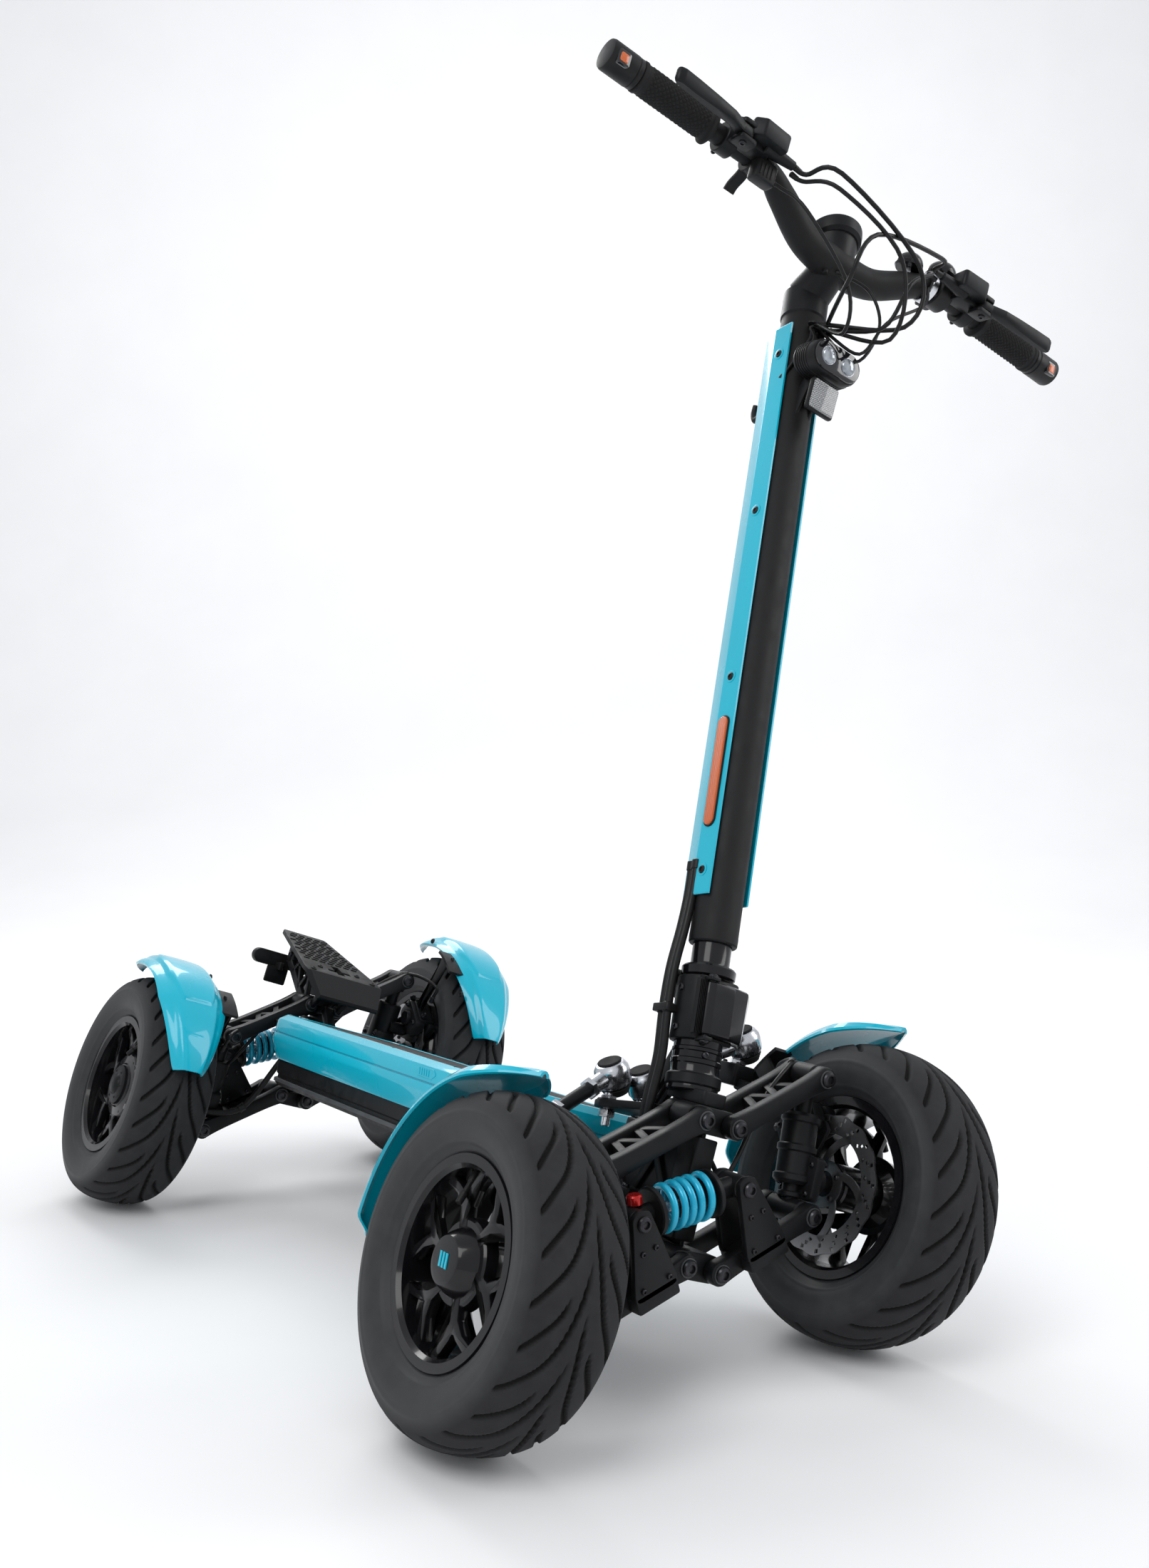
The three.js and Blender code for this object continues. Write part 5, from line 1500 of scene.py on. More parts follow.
# ---- Handlebar and what it carries, in the chassis frame -------------------------------------------
BAR_Y, BAR_Z = -317, 1262
BAR_PATH = [(0, -303, 1221), (52, -305, 1225), (102, -312, 1248), (138, BAR_Y, BAR_Z), (200, BAR_Y, BAR_Z),
            (362, BAR_Y, BAR_Z)]
PERCH_X = 196
THROTTLE_X = -156
GRIP_START, GRIP_LENGTH = PERCH_X + 24, 102
BAR_RADII = [20, 18, 15.9, 12.4, 11.1, 11.1]


def handlebar():
    """Thick riser that grows out of the head, the head's collar and its fluted back."""
    piece = Piece(CHASSIS)
    path = np.array(BAR_PATH)
    centre = smooth(np.vstack([path[::-1] * [-1, 1, 1], path[1:]]), 8)
    radii = smooth(np.column_stack([np.r_[BAR_RADII[::-1], BAR_RADII[1:]], np.zeros(11)]), 8)[:, 0]
    piece.sweep(centre, radii, 36)
    piece.finish("handlebar_tube", "stem", matt_black(), ["handlebar"])
    head = Piece(CHASSIS)
    a, b = on_axis(1019), on_axis(1056)
    head.rod(a, b, 26.5, sides=56, bevel=2)
    head.rod(on_axis(1052), (0, -303, 1224), 25.5, 21, 48, 2)
    top = np.array([0, -303, 1221])
    head.rod(top + (0, 5, -6), (0, -288, 1256), 24, 30, 48, 2)
    for i in range(7):
        x = (i - 3) * 5.6
        head.rod((x, -278 - 0.12 * x * x, 1200), (x, -272 - 0.12 * x * x, 1252), 3.1, 3.4, 12)
    head.block((-22, 22), (-292, -277), (1196, 1254), 6, 2)
    head.finish("head_casting", "stem", satin_black())
    bolts = Piece(CHASSIS)
    for s in (1028, 1046):
        for x in (-1, 1):
            p = on_axis(s)
            bolts.bolt(p + (x * 10, 25, 4), (x * 0.2, 1, -0.16), 3.4, 3, 16)
    bolts.finish("head_bolts", "stem", dark_steel())
    display()
    bar_ends()


def display():
    """Round display puck, tipped to the rider: a stepped rim, a dark glass and a plain ring of ticks."""
    tip = CHASSIS.at(0, -291, 1256, turn_x(math.radians(-24)))
    rim = Piece(tip)
    rim.turned([(-10, 0), (-10, 27), (-6, 31), (4, 33), (8, 33.4), (10, 32), (10.4, 29.6), (9.6, 29),
                (9.6, 0)], "z", sides=72)
    rim.finish("display_rim", "stem", satin_black())
    glass = Piece(tip)
    glass.turned([(9.7, 0), (9.7, 28.6), (10.4, 28), (11.2, 20), (11.5, 0)], "z", sides=64)
    glass.finish("display_glass", "stem", dark_lens())
    ticks = Piece(tip)
    for i in range(24):
        a = i * TAU / 24
        c, s = math.cos(a), math.sin(a)
        corners = [(21, -0.5), (24, -0.5), (24, 0.5), (21, 0.5)]
        outline = [(r * c - w * s, r * s + w * c) for r, w in corners]
        ticks.slab(outline, "z", 10.6, 11.3, 0.1)
    ticks.finish("display_ticks", "stem", lamp_glass())


def grip(side):
    """Grip with a ring at each end and a knurl of crossed helices: min(|sin(9a + mx)|, |sin(9a - mx)|)."""
    s = SIGN[side]
    x = np.linspace(0, GRIP_LENGTH, 380)[:, None]
    a = (np.arange(180) / 180 * TAU)[None, :]
    one = np.abs(np.sin(9 * a + x * 0.52))
    two = np.abs(np.sin(9 * a - x * 0.52))
    ridge = np.minimum(one, two)
    zone = step(9, 12, x) * (1 - step(GRIP_LENGTH - 12, GRIP_LENGTH - 9, x))
    flange = 3.2 * (1 - step(3.5, 5, x)) + 1.2 * step(GRIP_LENGTH - 6, GRIP_LENGTH - 4, x)
    radius = 15.2 + 1.5 * ridge * zone + flange + 0.8 * (1 - zone)
    radius = radius * (1 - 0.08 * (1 - step(0, 1.2, x)) - 0.08 * step(GRIP_LENGTH - 1.2, GRIP_LENGTH, x))
    surface = [s * (GRIP_START + x) + 0 * a, BAR_Y + radius * np.cos(a), BAR_Z + radius * np.sin(a)]
    piece = Piece(CHASSIS)
    piece.grid(np.stack(surface, -1))
    piece.finish(f"grip_{side}_knurl", "stem", soft_rubber(), [f"grip_{side}"], angle=60)


def bar_ends():
    """A sleeve round each bar end, with a small amber lamp let into its front and a flat cap."""
    sleeve = Piece(CHASSIS)
    lens = Piece(CHASSIS)
    bezel = Piece(CHASSIS)
    for s in (1, -1):
        profile = [(322.6, 0), (322.6, 15.6), (323.6, 16.6), (328, 16.6), (329, 15.8), (330, 17), (361, 17),
                   (363.6, 16), (364, 14.6), (364, 0)]
        sleeve.turned([(s * h, r) for h, r in profile], "x", (0, BAR_Y, BAR_Z), 56)
        near, far = sorted((s * 345, s * 355))
        lens.block((near, far), (BAR_Y - 17.9, BAR_Y - 10), (BAR_Z - 9, BAR_Z + 1), 2, 0.8, "y")
        near, far = near - 3, far + 3
        bezel.block((near, far), (BAR_Y - 17.2, BAR_Y - 10), (BAR_Z - 12, BAR_Z + 4), 3, 0.8, "y")
    sleeve.finish("bar_end_sleeves", "stem", black_plastic(), ["grip_left", "grip_right"])
    bezel.finish("bar_end_bezels", "stem", dark_lens())
    lens.finish("bar_end_lamps", "stem", amber_lens())


LEVER_Y, LEVER_Z = BAR_Y - 34, BAR_Z - 4


def perch(side):
    """Lever perch: split ring round the bar, boxy housing, jaws for the blade and the hose's barrel."""
    s = SIGN[side]
    piece = Piece(CHASSIS)
    ring = [(-9, 11.2), (-9, 16), (-8, 17), (8, 17), (9, 16), (9, 11.2)]
    ring = [(s * (PERCH_X + h), r) for h, r in ring]
    piece.turned(ring, "x", (0, BAR_Y, BAR_Z), 48, closed=True)
    x0, x1 = sorted((s * (PERCH_X - 40), s * (PERCH_X + 8)))
    piece.block((x0, x1), (LEVER_Y + 2, BAR_Y - 9), (BAR_Z - 10, BAR_Z + 14), 5, 2.4)
    a, b = sorted((s * (PERCH_X - 14), s * (PERCH_X + 10)))
    piece.block((a, b), (LEVER_Y - 9, LEVER_Y + 12), (LEVER_Z + 6.5, LEVER_Z + 12), 5, 1.2)
    piece.block((a, b), (LEVER_Y - 9, LEVER_Y + 12), (LEVER_Z - 12, LEVER_Z - 6.5), 5, 1.2)
    piece.rod((s * (PERCH_X - 30), LEVER_Y + 4, BAR_Z - 1), (s * (PERCH_X - 74), LEVER_Y + 2, BAR_Z - 1),
              8.6, 5.2, 28, 1.5)
    tank = rounded([(s * (PERCH_X - 52), LEVER_Y - 14), (s * (PERCH_X - 50), LEVER_Y + 10),
                    (s * (PERCH_X - 8), LEVER_Y + 10), (s * (PERCH_X - 4), LEVER_Y - 6),
                    (s * (PERCH_X - 14), LEVER_Y - 16)], 5, 5)
    piece.slab(tank, "z", BAR_Z - 4, BAR_Z + 17, 2.6)
    piece.finish(f"perch_{side}_body", "stem", satin_black(), [f"lever_perch_{side}"])
    screws = Piece(CHASSIS)
    for dx in (-44, -14):
        screws.bolt((s * (PERCH_X + dx), LEVER_Y - 2, BAR_Z + 17), (0, 0, 1), 2.4, 1.4, 12)
    screws.bolt((s * PERCH_X, LEVER_Y, LEVER_Z + 12), (0, 0, 1), 4.2, 2.2, 18)
    screws.bolt((s * PERCH_X, LEVER_Y, LEVER_Z - 12), (0, 0, -1), 4.2, 2.2, 18)
    for z in (-9, 12):
        screws.bolt((s * (PERCH_X + 2), BAR_Y + 15, BAR_Z + z), (0, 1, 0), 3, 3, 14)
    screws.finish(f"perch_{side}_screws", "stem", dark_steel())


def brake_lever(side):
    """Broad blade, deeper at its tip: an outline thickened, its edge rings rounded."""
    s = SIGN[side]
    plan = [(-9, 5.2), (9, 5.2), (24, 0), (52, -3), (84, -7), (102, -8), (108.6, -12), (107.6, -18),
            (100, -20.5), (80, -19.5), (50, -17.5), (26, -15), (8, -9), (-8, -8)]
    outline = rounded([(s * (PERCH_X + x), LEVER_Y + y) for x, y in plan], 6, 5)
    piece = Piece(CHASSIS)
    rings = []
    for h, grow in ((-1, 3.0), (-0.82, 1.0), (-0.5, 0), (0.5, 0), (0.82, 1.0), (1, 3.0)):
        ring = inset(outline, grow)
        along = np.abs(ring[:, 0]) - PERCH_X
        half = 6 + 2.6 * step(26, 76, along)
        rings.append(np.column_stack([ring, LEVER_Z + h * half - 1.5 * step(26, 76, along)]))
    piece.grid(np.array(rings))
    piece.finish(f"brake_lever_{side}_blade", f"brake_lever_{side}", satin_black(), [f"brake_lever_{side}"])


def thumb_throttle():
    """Thumb throttle: ring and bent paddle, its ribbed housing, and the switch pod on the other half."""
    x = THROTTLE_X
    piece = Piece(CHASSIS)
    piece.turned([(x - 7, 11.4), (x - 7, 16), (x - 6, 17), (x + 6, 17), (x + 7, 16), (x + 7, 11.4)], "x",
                 (0, BAR_Y, BAR_Z), 48, closed=True)
    path = smooth([(x, BAR_Y + 9, BAR_Z - 10), (x, BAR_Y + 16, BAR_Z - 16), (x, BAR_Y + 26, BAR_Z - 22),
                   (x, BAR_Y + 31, BAR_Z - 29)], 5)
    piece.sweep(path, 1.0, outline=rounded([(7, 3), (-7, 3), (-7, -3), (7, -3)], 2.5, 4), up=(1, 0, 0))
    piece.finish("thumb_throttle_paddle", "thumb_throttle", black_plastic(), ["thumb_throttle"])
    housing = Piece(CHASSIS)
    housing.block((x - 9, x + 21), (BAR_Y - 26, BAR_Y - 8), (BAR_Z - 32, BAR_Z - 8), 6, 2.4)
    for i in range(4):
        rib = (x - 4 + i * 5, x - 2 + i * 5)
        housing.block(rib, (BAR_Y - 27, BAR_Y - 24), (BAR_Z - 28, BAR_Z - 14), 1, 0.5)
    ring = [(x + 8, 11.4), (x + 8, 17), (x + 10, 18), (x + 18, 18), (x + 19, 17), (x + 19, 12.5)]
    housing.turned(ring, "x", (0, BAR_Y, BAR_Z), 48, closed=True)
    housing.finish("throttle_housing", "stem", black_plastic())
    pod = Piece(CHASSIS)
    ring = [(138, 12.6), (138, 18), (140, 20), (160, 20), (162, 18), (162, 12)]
    pod.turned(ring, "x", (0, BAR_Y, BAR_Z), 48, closed=True)
    pod.block((139, 161), (BAR_Y + 6, BAR_Y + 26), (BAR_Z - 12, BAR_Z + 12), 5, 2.4)
    for i, z in enumerate((-7, 0, 7)):
        pod.rod((146 + i * 4, BAR_Y + 25, BAR_Z + z), (146 + i * 4, BAR_Y + 29, BAR_Z + z), 3, 2.6, 18)
    pod.finish("switch_pod", "stem", black_plastic())


def bells():
    """Bell dome and a second dome on the left half, on bright posts, and a ring clamp between them."""
    dome = Piece(CHASSIS)
    clamp = Piece(CHASSIS)
    for x, z, r, low in ((150, BAR_Z + 38, 19, BAR_Z + 20), (98, BAR_Z + 22, 17, BAR_Z + 6)):
        q = np.linspace(0, math.pi / 2, 12)
        profile = [(low, 0), (low, r * 0.9)]
        profile += [(low + 3 + (z - low) * math.sin(t), r * math.cos(t)) for t in q]
        dome.turned(profile, "z", (x, BAR_Y + 2, 0), 48)
        clamp.rod((x, BAR_Y + 2, low - 10), (x, BAR_Y + 2, low), 4, sides=20)
    dome.finish("bell_domes", "stem", gloss_black())
    ring = [(124, 14), (124, 18), (125, 19), (133, 18.4), (134, 17), (134, 13)]
    clamp.turned(ring, "x", (0, BAR_Y - 1, BAR_Z - 4), 48, closed=True)
    clamp.finish("bell_clamps", "stem", bright_zinc())


def headlight():
    """Pill-shaped lamp with two projector lenses in dark glass, its bracket and a square clear reflector."""
    lamp_z = 1086
    back = on_axis((lamp_z - STEER_Z) / math.cos(RAKE))[1] - 25
    shell = Piece(CHASSIS)
    shell.slab(link((-17, lamp_z), (17, lamp_z), 19, steps=16), "y", back - 44, back - 8, 4)
    for i in range(6):
        y = back - 14 - i * 3.4
        shell.slab(link((-17, lamp_z), (17, lamp_z), 19.8, steps=16), "y", y, y + 1.4, 0.4)
    shell.block((-5, 5), (back - 24, back - 9), (lamp_z - 30, lamp_z - 14), 2, 1)
    arm = [(-22, -16), (-6, -16), (8, -52), (8, -84), (-2, -84), (-8, -60)]
    arm = rounded([(back + y, lamp_z + z) for y, z in arm], 4, 4)
    for x in (-9, 9):
        shell.slab(arm, "x", x - 1.8, x + 1.8, 0.6)
    shell.block((-15, 15), (back - 2, back + 6), (lamp_z - 86, lamp_z - 44), 3, 1.2, "y")
    shell.block((-20, 20), (back - 36, back - 30), (lamp_z - 62, lamp_z - 24), 4, 1.6, "y")
    shell.block((-5, 5), (back - 32, back - 6), (lamp_z - 48, lamp_z - 38), 2, 1)
    shell.finish("headlight_shell", "stem", black_plastic(), ["headlight"])
    face = Piece(CHASSIS)
    face.slab(link((-17, lamp_z), (17, lamp_z), 16.6, steps=16), "y", back - 46.4, back - 43, 1.2)
    face.finish("headlight_face", "stem", dark_lens())
    lens = Piece(CHASSIS)
    for x in (-15, 15):
        q = np.linspace(0, math.pi / 2, 10)
        profile = [(back - 44, 0), (back - 44, 10.5), (back - 46.6, 10.5)]
        profile += [(back - 46.6 - 4.6 * math.sin(t), 9.6 * math.cos(t)) for t in q]
        lens.turned(profile, "y", (x, 0, lamp_z), 40)
    lens.finish("headlight_lenses", "stem", lamp_glass())
    prism = Piece(CHASSIS)
    prism.block((-18, 18), (back - 38.4, back - 35), (lamp_z - 60, lamp_z - 26), 3, 1, "y")
    prism.finish("front_reflector", "stem", clear_prism())
    bolts = Piece(CHASSIS)
    for z in (-52, -76):
        for x in (-12, 12):
            bolts.bolt((x * 0.4, back - 3, lamp_z + z), (0, -1, 0), 3, 2.4, 14)
    bolts.finish("headlight_bolts", "stem", dark_steel())


# ---- Cables -------------------------------------------------------------------------------------------
def cable(name, points, radius, body):
    """A cable along a smooth curve through the given points, with a ferrule at each end."""
    path = smooth(points, 7)
    piece = Piece(CHASSIS)
    piece.sweep(path, radius, 14)
    for a, b in ((path[0], path[2]), (path[-1], path[-3])):
        way = (b - a) / np.linalg.norm(b - a)
        piece.rod(a - way * 2, a + way * 9, radius + 0.9, radius + 0.4, 16)
    piece.finish(name, body, cable_black())


def jointed_cable(name, points, radius, cuts, bodies):
    """A cable across joints: one smooth curve, split at its clips; a stretch with both ends on one body
    rides on it, and one that spans a joint is left on no body.
    """
    steps = 9
    path = smooth(points, steps)
    stops = [0, *cuts, len(points) - 1]
    for i, (first, last) in enumerate(zip(stops, stops[1:])):
        stretch = path[first * steps:last * steps + 1]
        piece = Piece(CHASSIS)
        piece.sweep(stretch, radius, 14)
        for at, way in ((stretch[0], stretch[2] - stretch[0]), (stretch[-1], stretch[-1] - stretch[-3])):
            way = way / np.linalg.norm(way)
            piece.rod(at - way * 5, at + way * 5, radius + 1.0, sides=16)
        a, b = bodies[i], bodies[i + 1]
        obj = piece.finish(f"{name}_{i + 1}", a if a == b else None, cable_black())
        if a != b:
            ends = CHASSIS.row([stretch[0], stretch[-1]])
            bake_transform(obj)


def bar_cables():
    """Cables that loop from the controls in front of the head, meet at a tie and enter the stem's cover."""
    gather = on_axis(985)

    def into_cover(dx, dy):
        return [tuple(on_axis(1004) + (dx * 1.0, -34 + dy, 0)), tuple(gather + (dx * 1.1, -31 + dy, 0)),
                tuple(on_axis(955) + (dx * 2.2, -22 + dy, 0)), tuple(on_axis(930) + (dx * 2.9, -8, 0))]

    routes = [
        ("left_brake", (120, LEVER_Y + 2, BAR_Z - 1),
         (88, -382, 1254), (-30, -404, 1212), (-44, -392, 1150), 6, 0, 2.6),
        ("right_brake", (-120, LEVER_Y + 2, BAR_Z - 1),
         (-84, -386, 1262), (34, -410, 1206), (44, -398, 1140), -6, 0, 2.6),
        ("left_rear", (118, LEVER_Y + 8, BAR_Z - 6),
         (80, -380, 1230), (38, -398, 1190), (22, -388, 1130), 9, 2, 2.4),
        ("right_rear", (-118, LEVER_Y + 8, BAR_Z - 6),
         (-80, -384, 1246), (6, -412, 1198), (30, -396, 1118), 2, 4, 2.4),
        ("throttle", (-138, BAR_Y - 16, BAR_Z - 22),
         (-100, -362, 1216), (-40, -388, 1150), (-20, -376, 1106), -9, 2, 2.2),
        ("switch", (136, BAR_Y - 12, BAR_Z - 12),
         (98, -358, 1206), (40, -372, 1150), (16, -368, 1100), 11, 5, 1.9),
        ("display", (10, -316, 1206),
         (34, -336, 1196), (44, -356, 1150), (22, -356, 1096), 0, 6, 1.9),
    ]
    for name, start, bend, low, lower, dx, dy, radius in routes:
        way = 14 if start[0] < 0 else -14
        points = [start, (start[0] + way, start[1] - 3, start[2] - 1), bend, low, lower] + into_cover(dx, dy)
        cable(f"{name}_cable", points, radius, "stem")
    tie = Piece(CHASSIS)
    t = np.linspace(0, TAU, 28, endpoint=False)
    centre = on_axis(1004) + (0, -31, 0)
    ring = np.stack([centre[0] + 14 * np.cos(t), centre[1] + 6.4 * np.sin(t), centre[2] + 0 * t], -1)
    band = [(0.8, 2.2), (0.8, -2.2), (-0.8, -2.2), (-0.8, 2.2)]
    tie.sweep(ring, 1.0, outline=band, up=(0, 0, 1), closed=True)
    tie.block((9, 15), (centre[1] - 9, centre[1] - 4), (centre[2] - 3, centre[2] + 3), 1, 0.6)
    tie.finish("cable_tie", "stem", black_plastic())


def lower_cables():
    """Two main leads from the cover's foot past a clip on the clamp to a block beside the column's base."""
    for number, x, y in ((1, -26, 12), (2, -23, 23)):
        down = [(x, y, 352), (x, y, 322), (x - 3, y, 286), (x - 9, y, 242), (x - 10, y, 200),
                (x - 8, y, 156)]
        beside = -414 + 11 * number
        base = [(x - 8, beside, 274), (x - 8, beside, 252), (x - 6, beside, 230)]
        jointed_cable(f"main_lead_{number}", np.vstack([CHASSIS.local(COLUMN.row(down)), base]), 4.6, (4,),
                      ("stem", "steering_column", "chassis"))
    clips = Piece(COLUMN)
    clips.block((-42, -27), (6, 30), (196, 204), 3, 1)
    clips.finish("lead_clips", "steering_column", black_plastic())
    glands = Piece(CHASSIS)
    glands.block((-44, -17), (-414, -384), (204, 232), 5, 2)
    for z in (210, 226):
        glands.bolt((-44, -399, z), (-1, 0, 0), 3, 2.6, 16)
    glands.finish("lead_clamp_block", "chassis", black_plastic())


def hoses():
    """Hoses from the deck over each lower arm's tower and upright to the caliper, and two motor leads."""
    for end, side in CORNERS:
        s, inward = SIGN[side], INWARD[end]
        nose = -284 if end == "front" else 368
        corner = f"{end}_{side}"
        wheel = place_of(f"{corner}_wheel")
        arm = place_of(f"{corner}_lower_arm", -ARM_ANGLE)
        carrier = place_of(f"{corner}_carrier")
        hub = f"{corner}_knuckle" if end == "front" else f"{corner}_carrier"
        clip = CHASSIS.local(arm.row([(s * 56, inward * -2, 66)]))[0]
        post = CHASSIS.local(carrier.row([(s * -4, inward * 40, 142)]))[0]
        over, last = CHASSIS.local(wheel.row([(-s * 70, inward * 88, 104), (-s * 66, inward * 82, 84)]))
        points = [(s * 62, nose, 200), (s * 66, nose - inward * 20, 204), (s * 70, nose - inward * 60, 214),
                  clip + (0, inward * 34, 12), clip, (clip + post) / 2 + (0, 0, 20), post, over, last]
        jointed_cable(f"{corner}_hose", [np.array(p, float) for p in points], 2.5, (4, 6),
                      ("chassis", f"{corner}_lower_arm", f"{corner}_carrier", hub))
    for side, s in SIGN.items():
        corner = f"rear_{side}"
        wheel = place_of(f"{corner}_wheel")
        arm = place_of(f"{corner}_lower_arm", -ARM_ANGLE)
        clip = CHASSIS.local(arm.row([(s * 62, -44, 10)]))[0]
        motor = CHASSIS.local(wheel.row([(-s * 78, -30, -8), (-s * 62, -14, -4)]))
        points = [(s * 22, 364, 160), (s * 26, 380, 168), (s * 40, 404, 180), clip, *motor]
        jointed_cable(f"{corner}_motor_lead", [np.array(p, float) for p in points], 4.0, (3,),
                      ("chassis", f"{corner}_lower_arm", f"{corner}_carrier"))


# ---- Stage ----------------------------------------------------------------------------------------------
CAMERA_LOCAL = (-916.6, -1628.8, 576.4)
CAMERA_YAW, CAMERA_PITCH, CAMERA_ROLL = -33.97, 0.27, 0.11
CAMERA_LENS = 35.73


def ground_centre():
    """The middle between the four wheel centres, at the height the camera is measured from."""
    centres = np.array([JOINT[f"{end}_{side}_wheel"]["pos_m"] for end, side in CORNERS])
    middle = centres.mean(0)
    return np.array([middle[0], middle[1], middle[2] - 0.1484])


def camera():
    """Camera from its yaw, pitch and roll, placed from the middle between the wheels."""
    yaw, pitch, roll = (math.radians(v) for v in (CAMERA_YAW, CAMERA_PITCH, CAMERA_ROLL))
    back = np.array([math.sin(yaw) * math.cos(pitch), -math.cos(yaw) * math.cos(pitch), math.sin(pitch)])
    right = np.cross(-back, [0, 0, 1])
    right /= np.linalg.norm(right)
    up = np.cross(right, -back)
    across = math.cos(roll) * right + math.sin(roll) * up
    above = -math.sin(roll) * right + math.cos(roll) * up
    matrix = np.eye(4)
    matrix[:3, 0], matrix[:3, 1], matrix[:3, 2] = across, above, back
    matrix[:3, 3] = ground_centre() + np.array(CAMERA_LOCAL) * MM
    data = bpy.data.cameras.new("camera")
    data.sensor_fit = "VERTICAL"
    data.sensor_height = 36
    data.lens = CAMERA_LENS
    obj = bpy.data.objects.new("camera", data)
    bpy.context.scene.collection.objects.link(obj)
    obj.matrix_world = Matrix(matrix.tolist())
    bpy.context.scene.camera = obj


def lamp(name, at, aim, size, power):
    """Rectangular area light turned to its aim, in metres and watts."""
    data = bpy.data.lights.new(name, "AREA")
    data.shape = "RECTANGLE"
    data.size, data.size_y = size
    data.energy = power
    obj = bpy.data.objects.new(name, data)
    obj.location = at
    obj.rotation_euler = (Vector(aim) - Vector(at)).to_track_quat("-Z", "Y").to_euler()
    bpy.context.scene.collection.objects.link(obj)


def floor():
    """A pale sweep: a floor that curves up into a wall behind, z = r(1 - cos q) along the view."""
    yaw = math.radians(CAMERA_YAW)
    ahead = np.array([-math.sin(yaw), math.cos(yaw)])
    across = np.array([ahead[1], -ahead[0]])
    q = np.linspace(0, math.pi / 2, 24)
    profile = [(-6, 0), (3.4, 0)] + [(3.4 + 2.4 * math.sin(t), 2.4 * (1 - math.cos(t))) for t in q[1:]]
    profile += [(5.8, 7)]
    points = [(*(ahead * d + across * w), z) for d, z in profile for w in (-9, 9)]
    faces = [(2 * i, 2 * i + 1, 2 * i + 3, 2 * i + 2) for i in range(len(profile) - 1)]
    mesh = bpy.data.meshes.new("floor")
    mesh.from_pydata(points, [], faces)
    mesh.shade_smooth()
    ground = Paint("studio_floor", (0.86, 0.86, 0.865), 0.55)
    ground.vary((0.84, 0.84, 0.845), 0.5, 0.62, 3)
    mesh.materials.append(ground.material)
    obj = bpy.data.objects.new("floor", mesh)
    bpy.context.scene.collection.objects.link(obj)


def studio():
    """Pale world light, the sweep and four area lights."""
    world = bpy.data.worlds.new("studio")
    world.use_nodes = True
    background = world.node_tree.nodes["Background"]
    background.inputs["Color"].default_value = (0.95, 0.97, 1.0, 1)
    background.inputs["Strength"].default_value = 0.74
    bpy.context.scene.world = world
    bpy.context.scene.view_settings.view_transform = "Standard"
    floor()
    lamp("key", (-2.6, -1.6, 3.4), (0, 0, 0.5), (2.2, 2.2), 62)
    lamp("side", (2.8, -2.2, 2.2), (0, 0, 0.5), (1.4, 2.6), 40)
    lamp("wall", (1.3, 2.0, 3.6), (3.2, 4.8, 2.2), (4.5, 1.5), 62)
    lamp("back", (0.6, 3.0, 3.0), (0, 0, 0.5), (2.6, 1.2), 60)


# ---- Add-on --------------------------------------------------------------------------------------------
class ScooterSettings(bpy.types.PropertyGroup):
    tyre_segments: bpy.props.IntProperty(
        name="Tyre segments", description="Faces round each tyre", default=640, min=120, max=720)


class SCOOTER_OT_stage(bpy.types.Operator):
    """Camera, floor and lights"""
    bl_idname = "scooter.stage"
    bl_label = "Stage"

    def execute(self, context):
        camera()
        studio()
        return {"FINISHED"}


class SCOOTER_OT_wheels(bpy.types.Operator):
    """Tyres, rims, hub motors, discs and calipers"""
    bl_idname = "scooter.wheels"
    bl_label = "Wheels and brakes"

    def execute(self, context):
        segments = context.scene.scooter.tyre_segments
        for end, side in CORNERS:
            tyre(end, side, segments)
            brake_disc(end, side)
            caliper(end, side)
        for side in SIGN:
            front_rim(side)
            hub_motor(side)
        return {"FINISHED"}


class SCOOTER_OT_guards(bpy.types.Operator):
    """Four mudguards with their stays"""
    bl_idname = "scooter.guards"
    bl_label = "Mudguards"

    def execute(self, context):
        for side in SIGN:
            front_guard(side)
            rear_guard(side)
        return {"FINISHED"}


class SCOOTER_OT_suspension(bpy.types.Operator):
    """Wishbones, hubs, dampers, tie rods and subframes"""
    bl_idname = "scooter.suspension"
    bl_label = "Suspension"

    def execute(self, context):
        for end, side in CORNERS:
            upper_arm(end, side)
            lower_arm(end, side)
        for side in SIGN:
            front_carrier(side)
            knuckle(side)
            rear_carrier(side)
            tie_rod(side)
        damper("front")
        damper("rear")
        front_frame()
        rear_frame()
        return {"FINISHED"}


class SCOOTER_OT_deck(bpy.types.Operator):
    """Deck covers, footplate and tail light"""
    bl_idname = "scooter.deck"
    bl_label = "Deck"

    def execute(self, context):
        deck()
        footplate()
        tail_light()
        return {"FINISHED"}


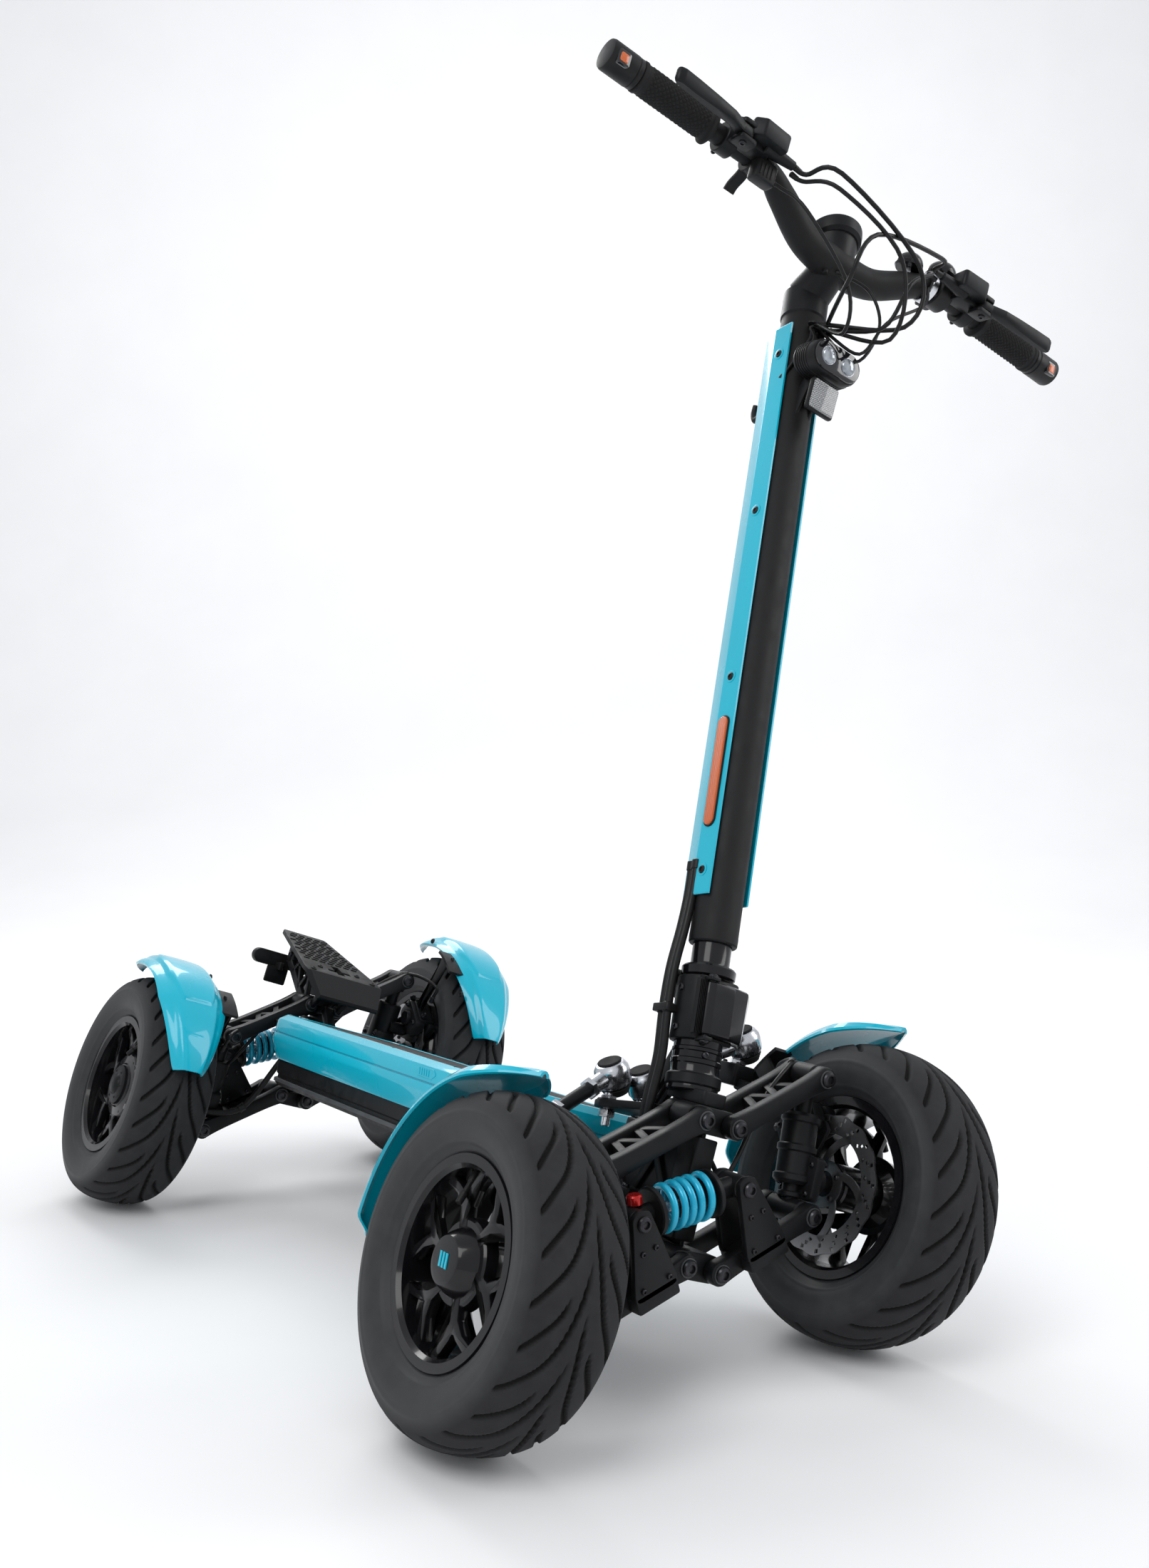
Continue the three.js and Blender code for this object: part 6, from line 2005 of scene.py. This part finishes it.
class SCOOTER_OT_stem(bpy.types.Operator):
    """Column, clamp, tubes and cover"""
    bl_idname = "scooter.stem"
    bl_label = "Stem"

    def execute(self, context):
        column()
        clamp_lever()
        stem()
        return {"FINISHED"}


class SCOOTER_OT_bars(bpy.types.Operator):
    """Bar, grips, levers, bells and headlight"""
    bl_idname = "scooter.bars"
    bl_label = "Handlebar"

    def execute(self, context):
        handlebar()
        for side in SIGN:
            grip(side)
            perch(side)
            brake_lever(side)
        thumb_throttle()
        bells()
        headlight()
        return {"FINISHED"}


class SCOOTER_OT_cables(bpy.types.Operator):
    """Control cables, leads and hoses"""
    bl_idname = "scooter.cables"
    bl_label = "Cables"

    def execute(self, context):
        bar_cables()
        lower_cables()
        hoses()
        return {"FINISHED"}


OPERATORS = (
    SCOOTER_OT_stage,
    SCOOTER_OT_wheels,
    SCOOTER_OT_guards,
    SCOOTER_OT_suspension,
    SCOOTER_OT_deck,
    SCOOTER_OT_stem,
    SCOOTER_OT_bars,
    SCOOTER_OT_cables,
)


class SCOOTER_PT_panel(bpy.types.Panel):
    bl_idname = "SCOOTER_PT_panel"
    bl_label = "Scooter"
    bl_space_type = "VIEW_3D"
    bl_region_type = "UI"
    bl_category = "Scooter"

    def draw(self, context):
        self.layout.prop(context.scene.scooter, "tyre_segments")
        for each in OPERATORS:
            self.layout.operator(each.bl_idname)


def register():
    for each in (ScooterSettings, *OPERATORS, SCOOTER_PT_panel):
        bpy.utils.register_class(each)
    bpy.types.Scene.scooter = bpy.props.PointerProperty(type=ScooterSettings)


def unregister():
    del bpy.types.Scene.scooter
    for each in reversed((ScooterSettings, *OPERATORS, SCOOTER_PT_panel)):
        bpy.utils.unregister_class(each)


def main():
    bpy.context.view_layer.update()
    register()
    bpy.ops.scooter.stage()
    bpy.ops.scooter.wheels()
    bpy.ops.scooter.guards()
    bpy.ops.scooter.suspension()
    bpy.ops.scooter.deck()
    bpy.ops.scooter.stem()
    bpy.ops.scooter.bars()
    bpy.ops.scooter.cables()


if __name__ == "__main__":
    main()
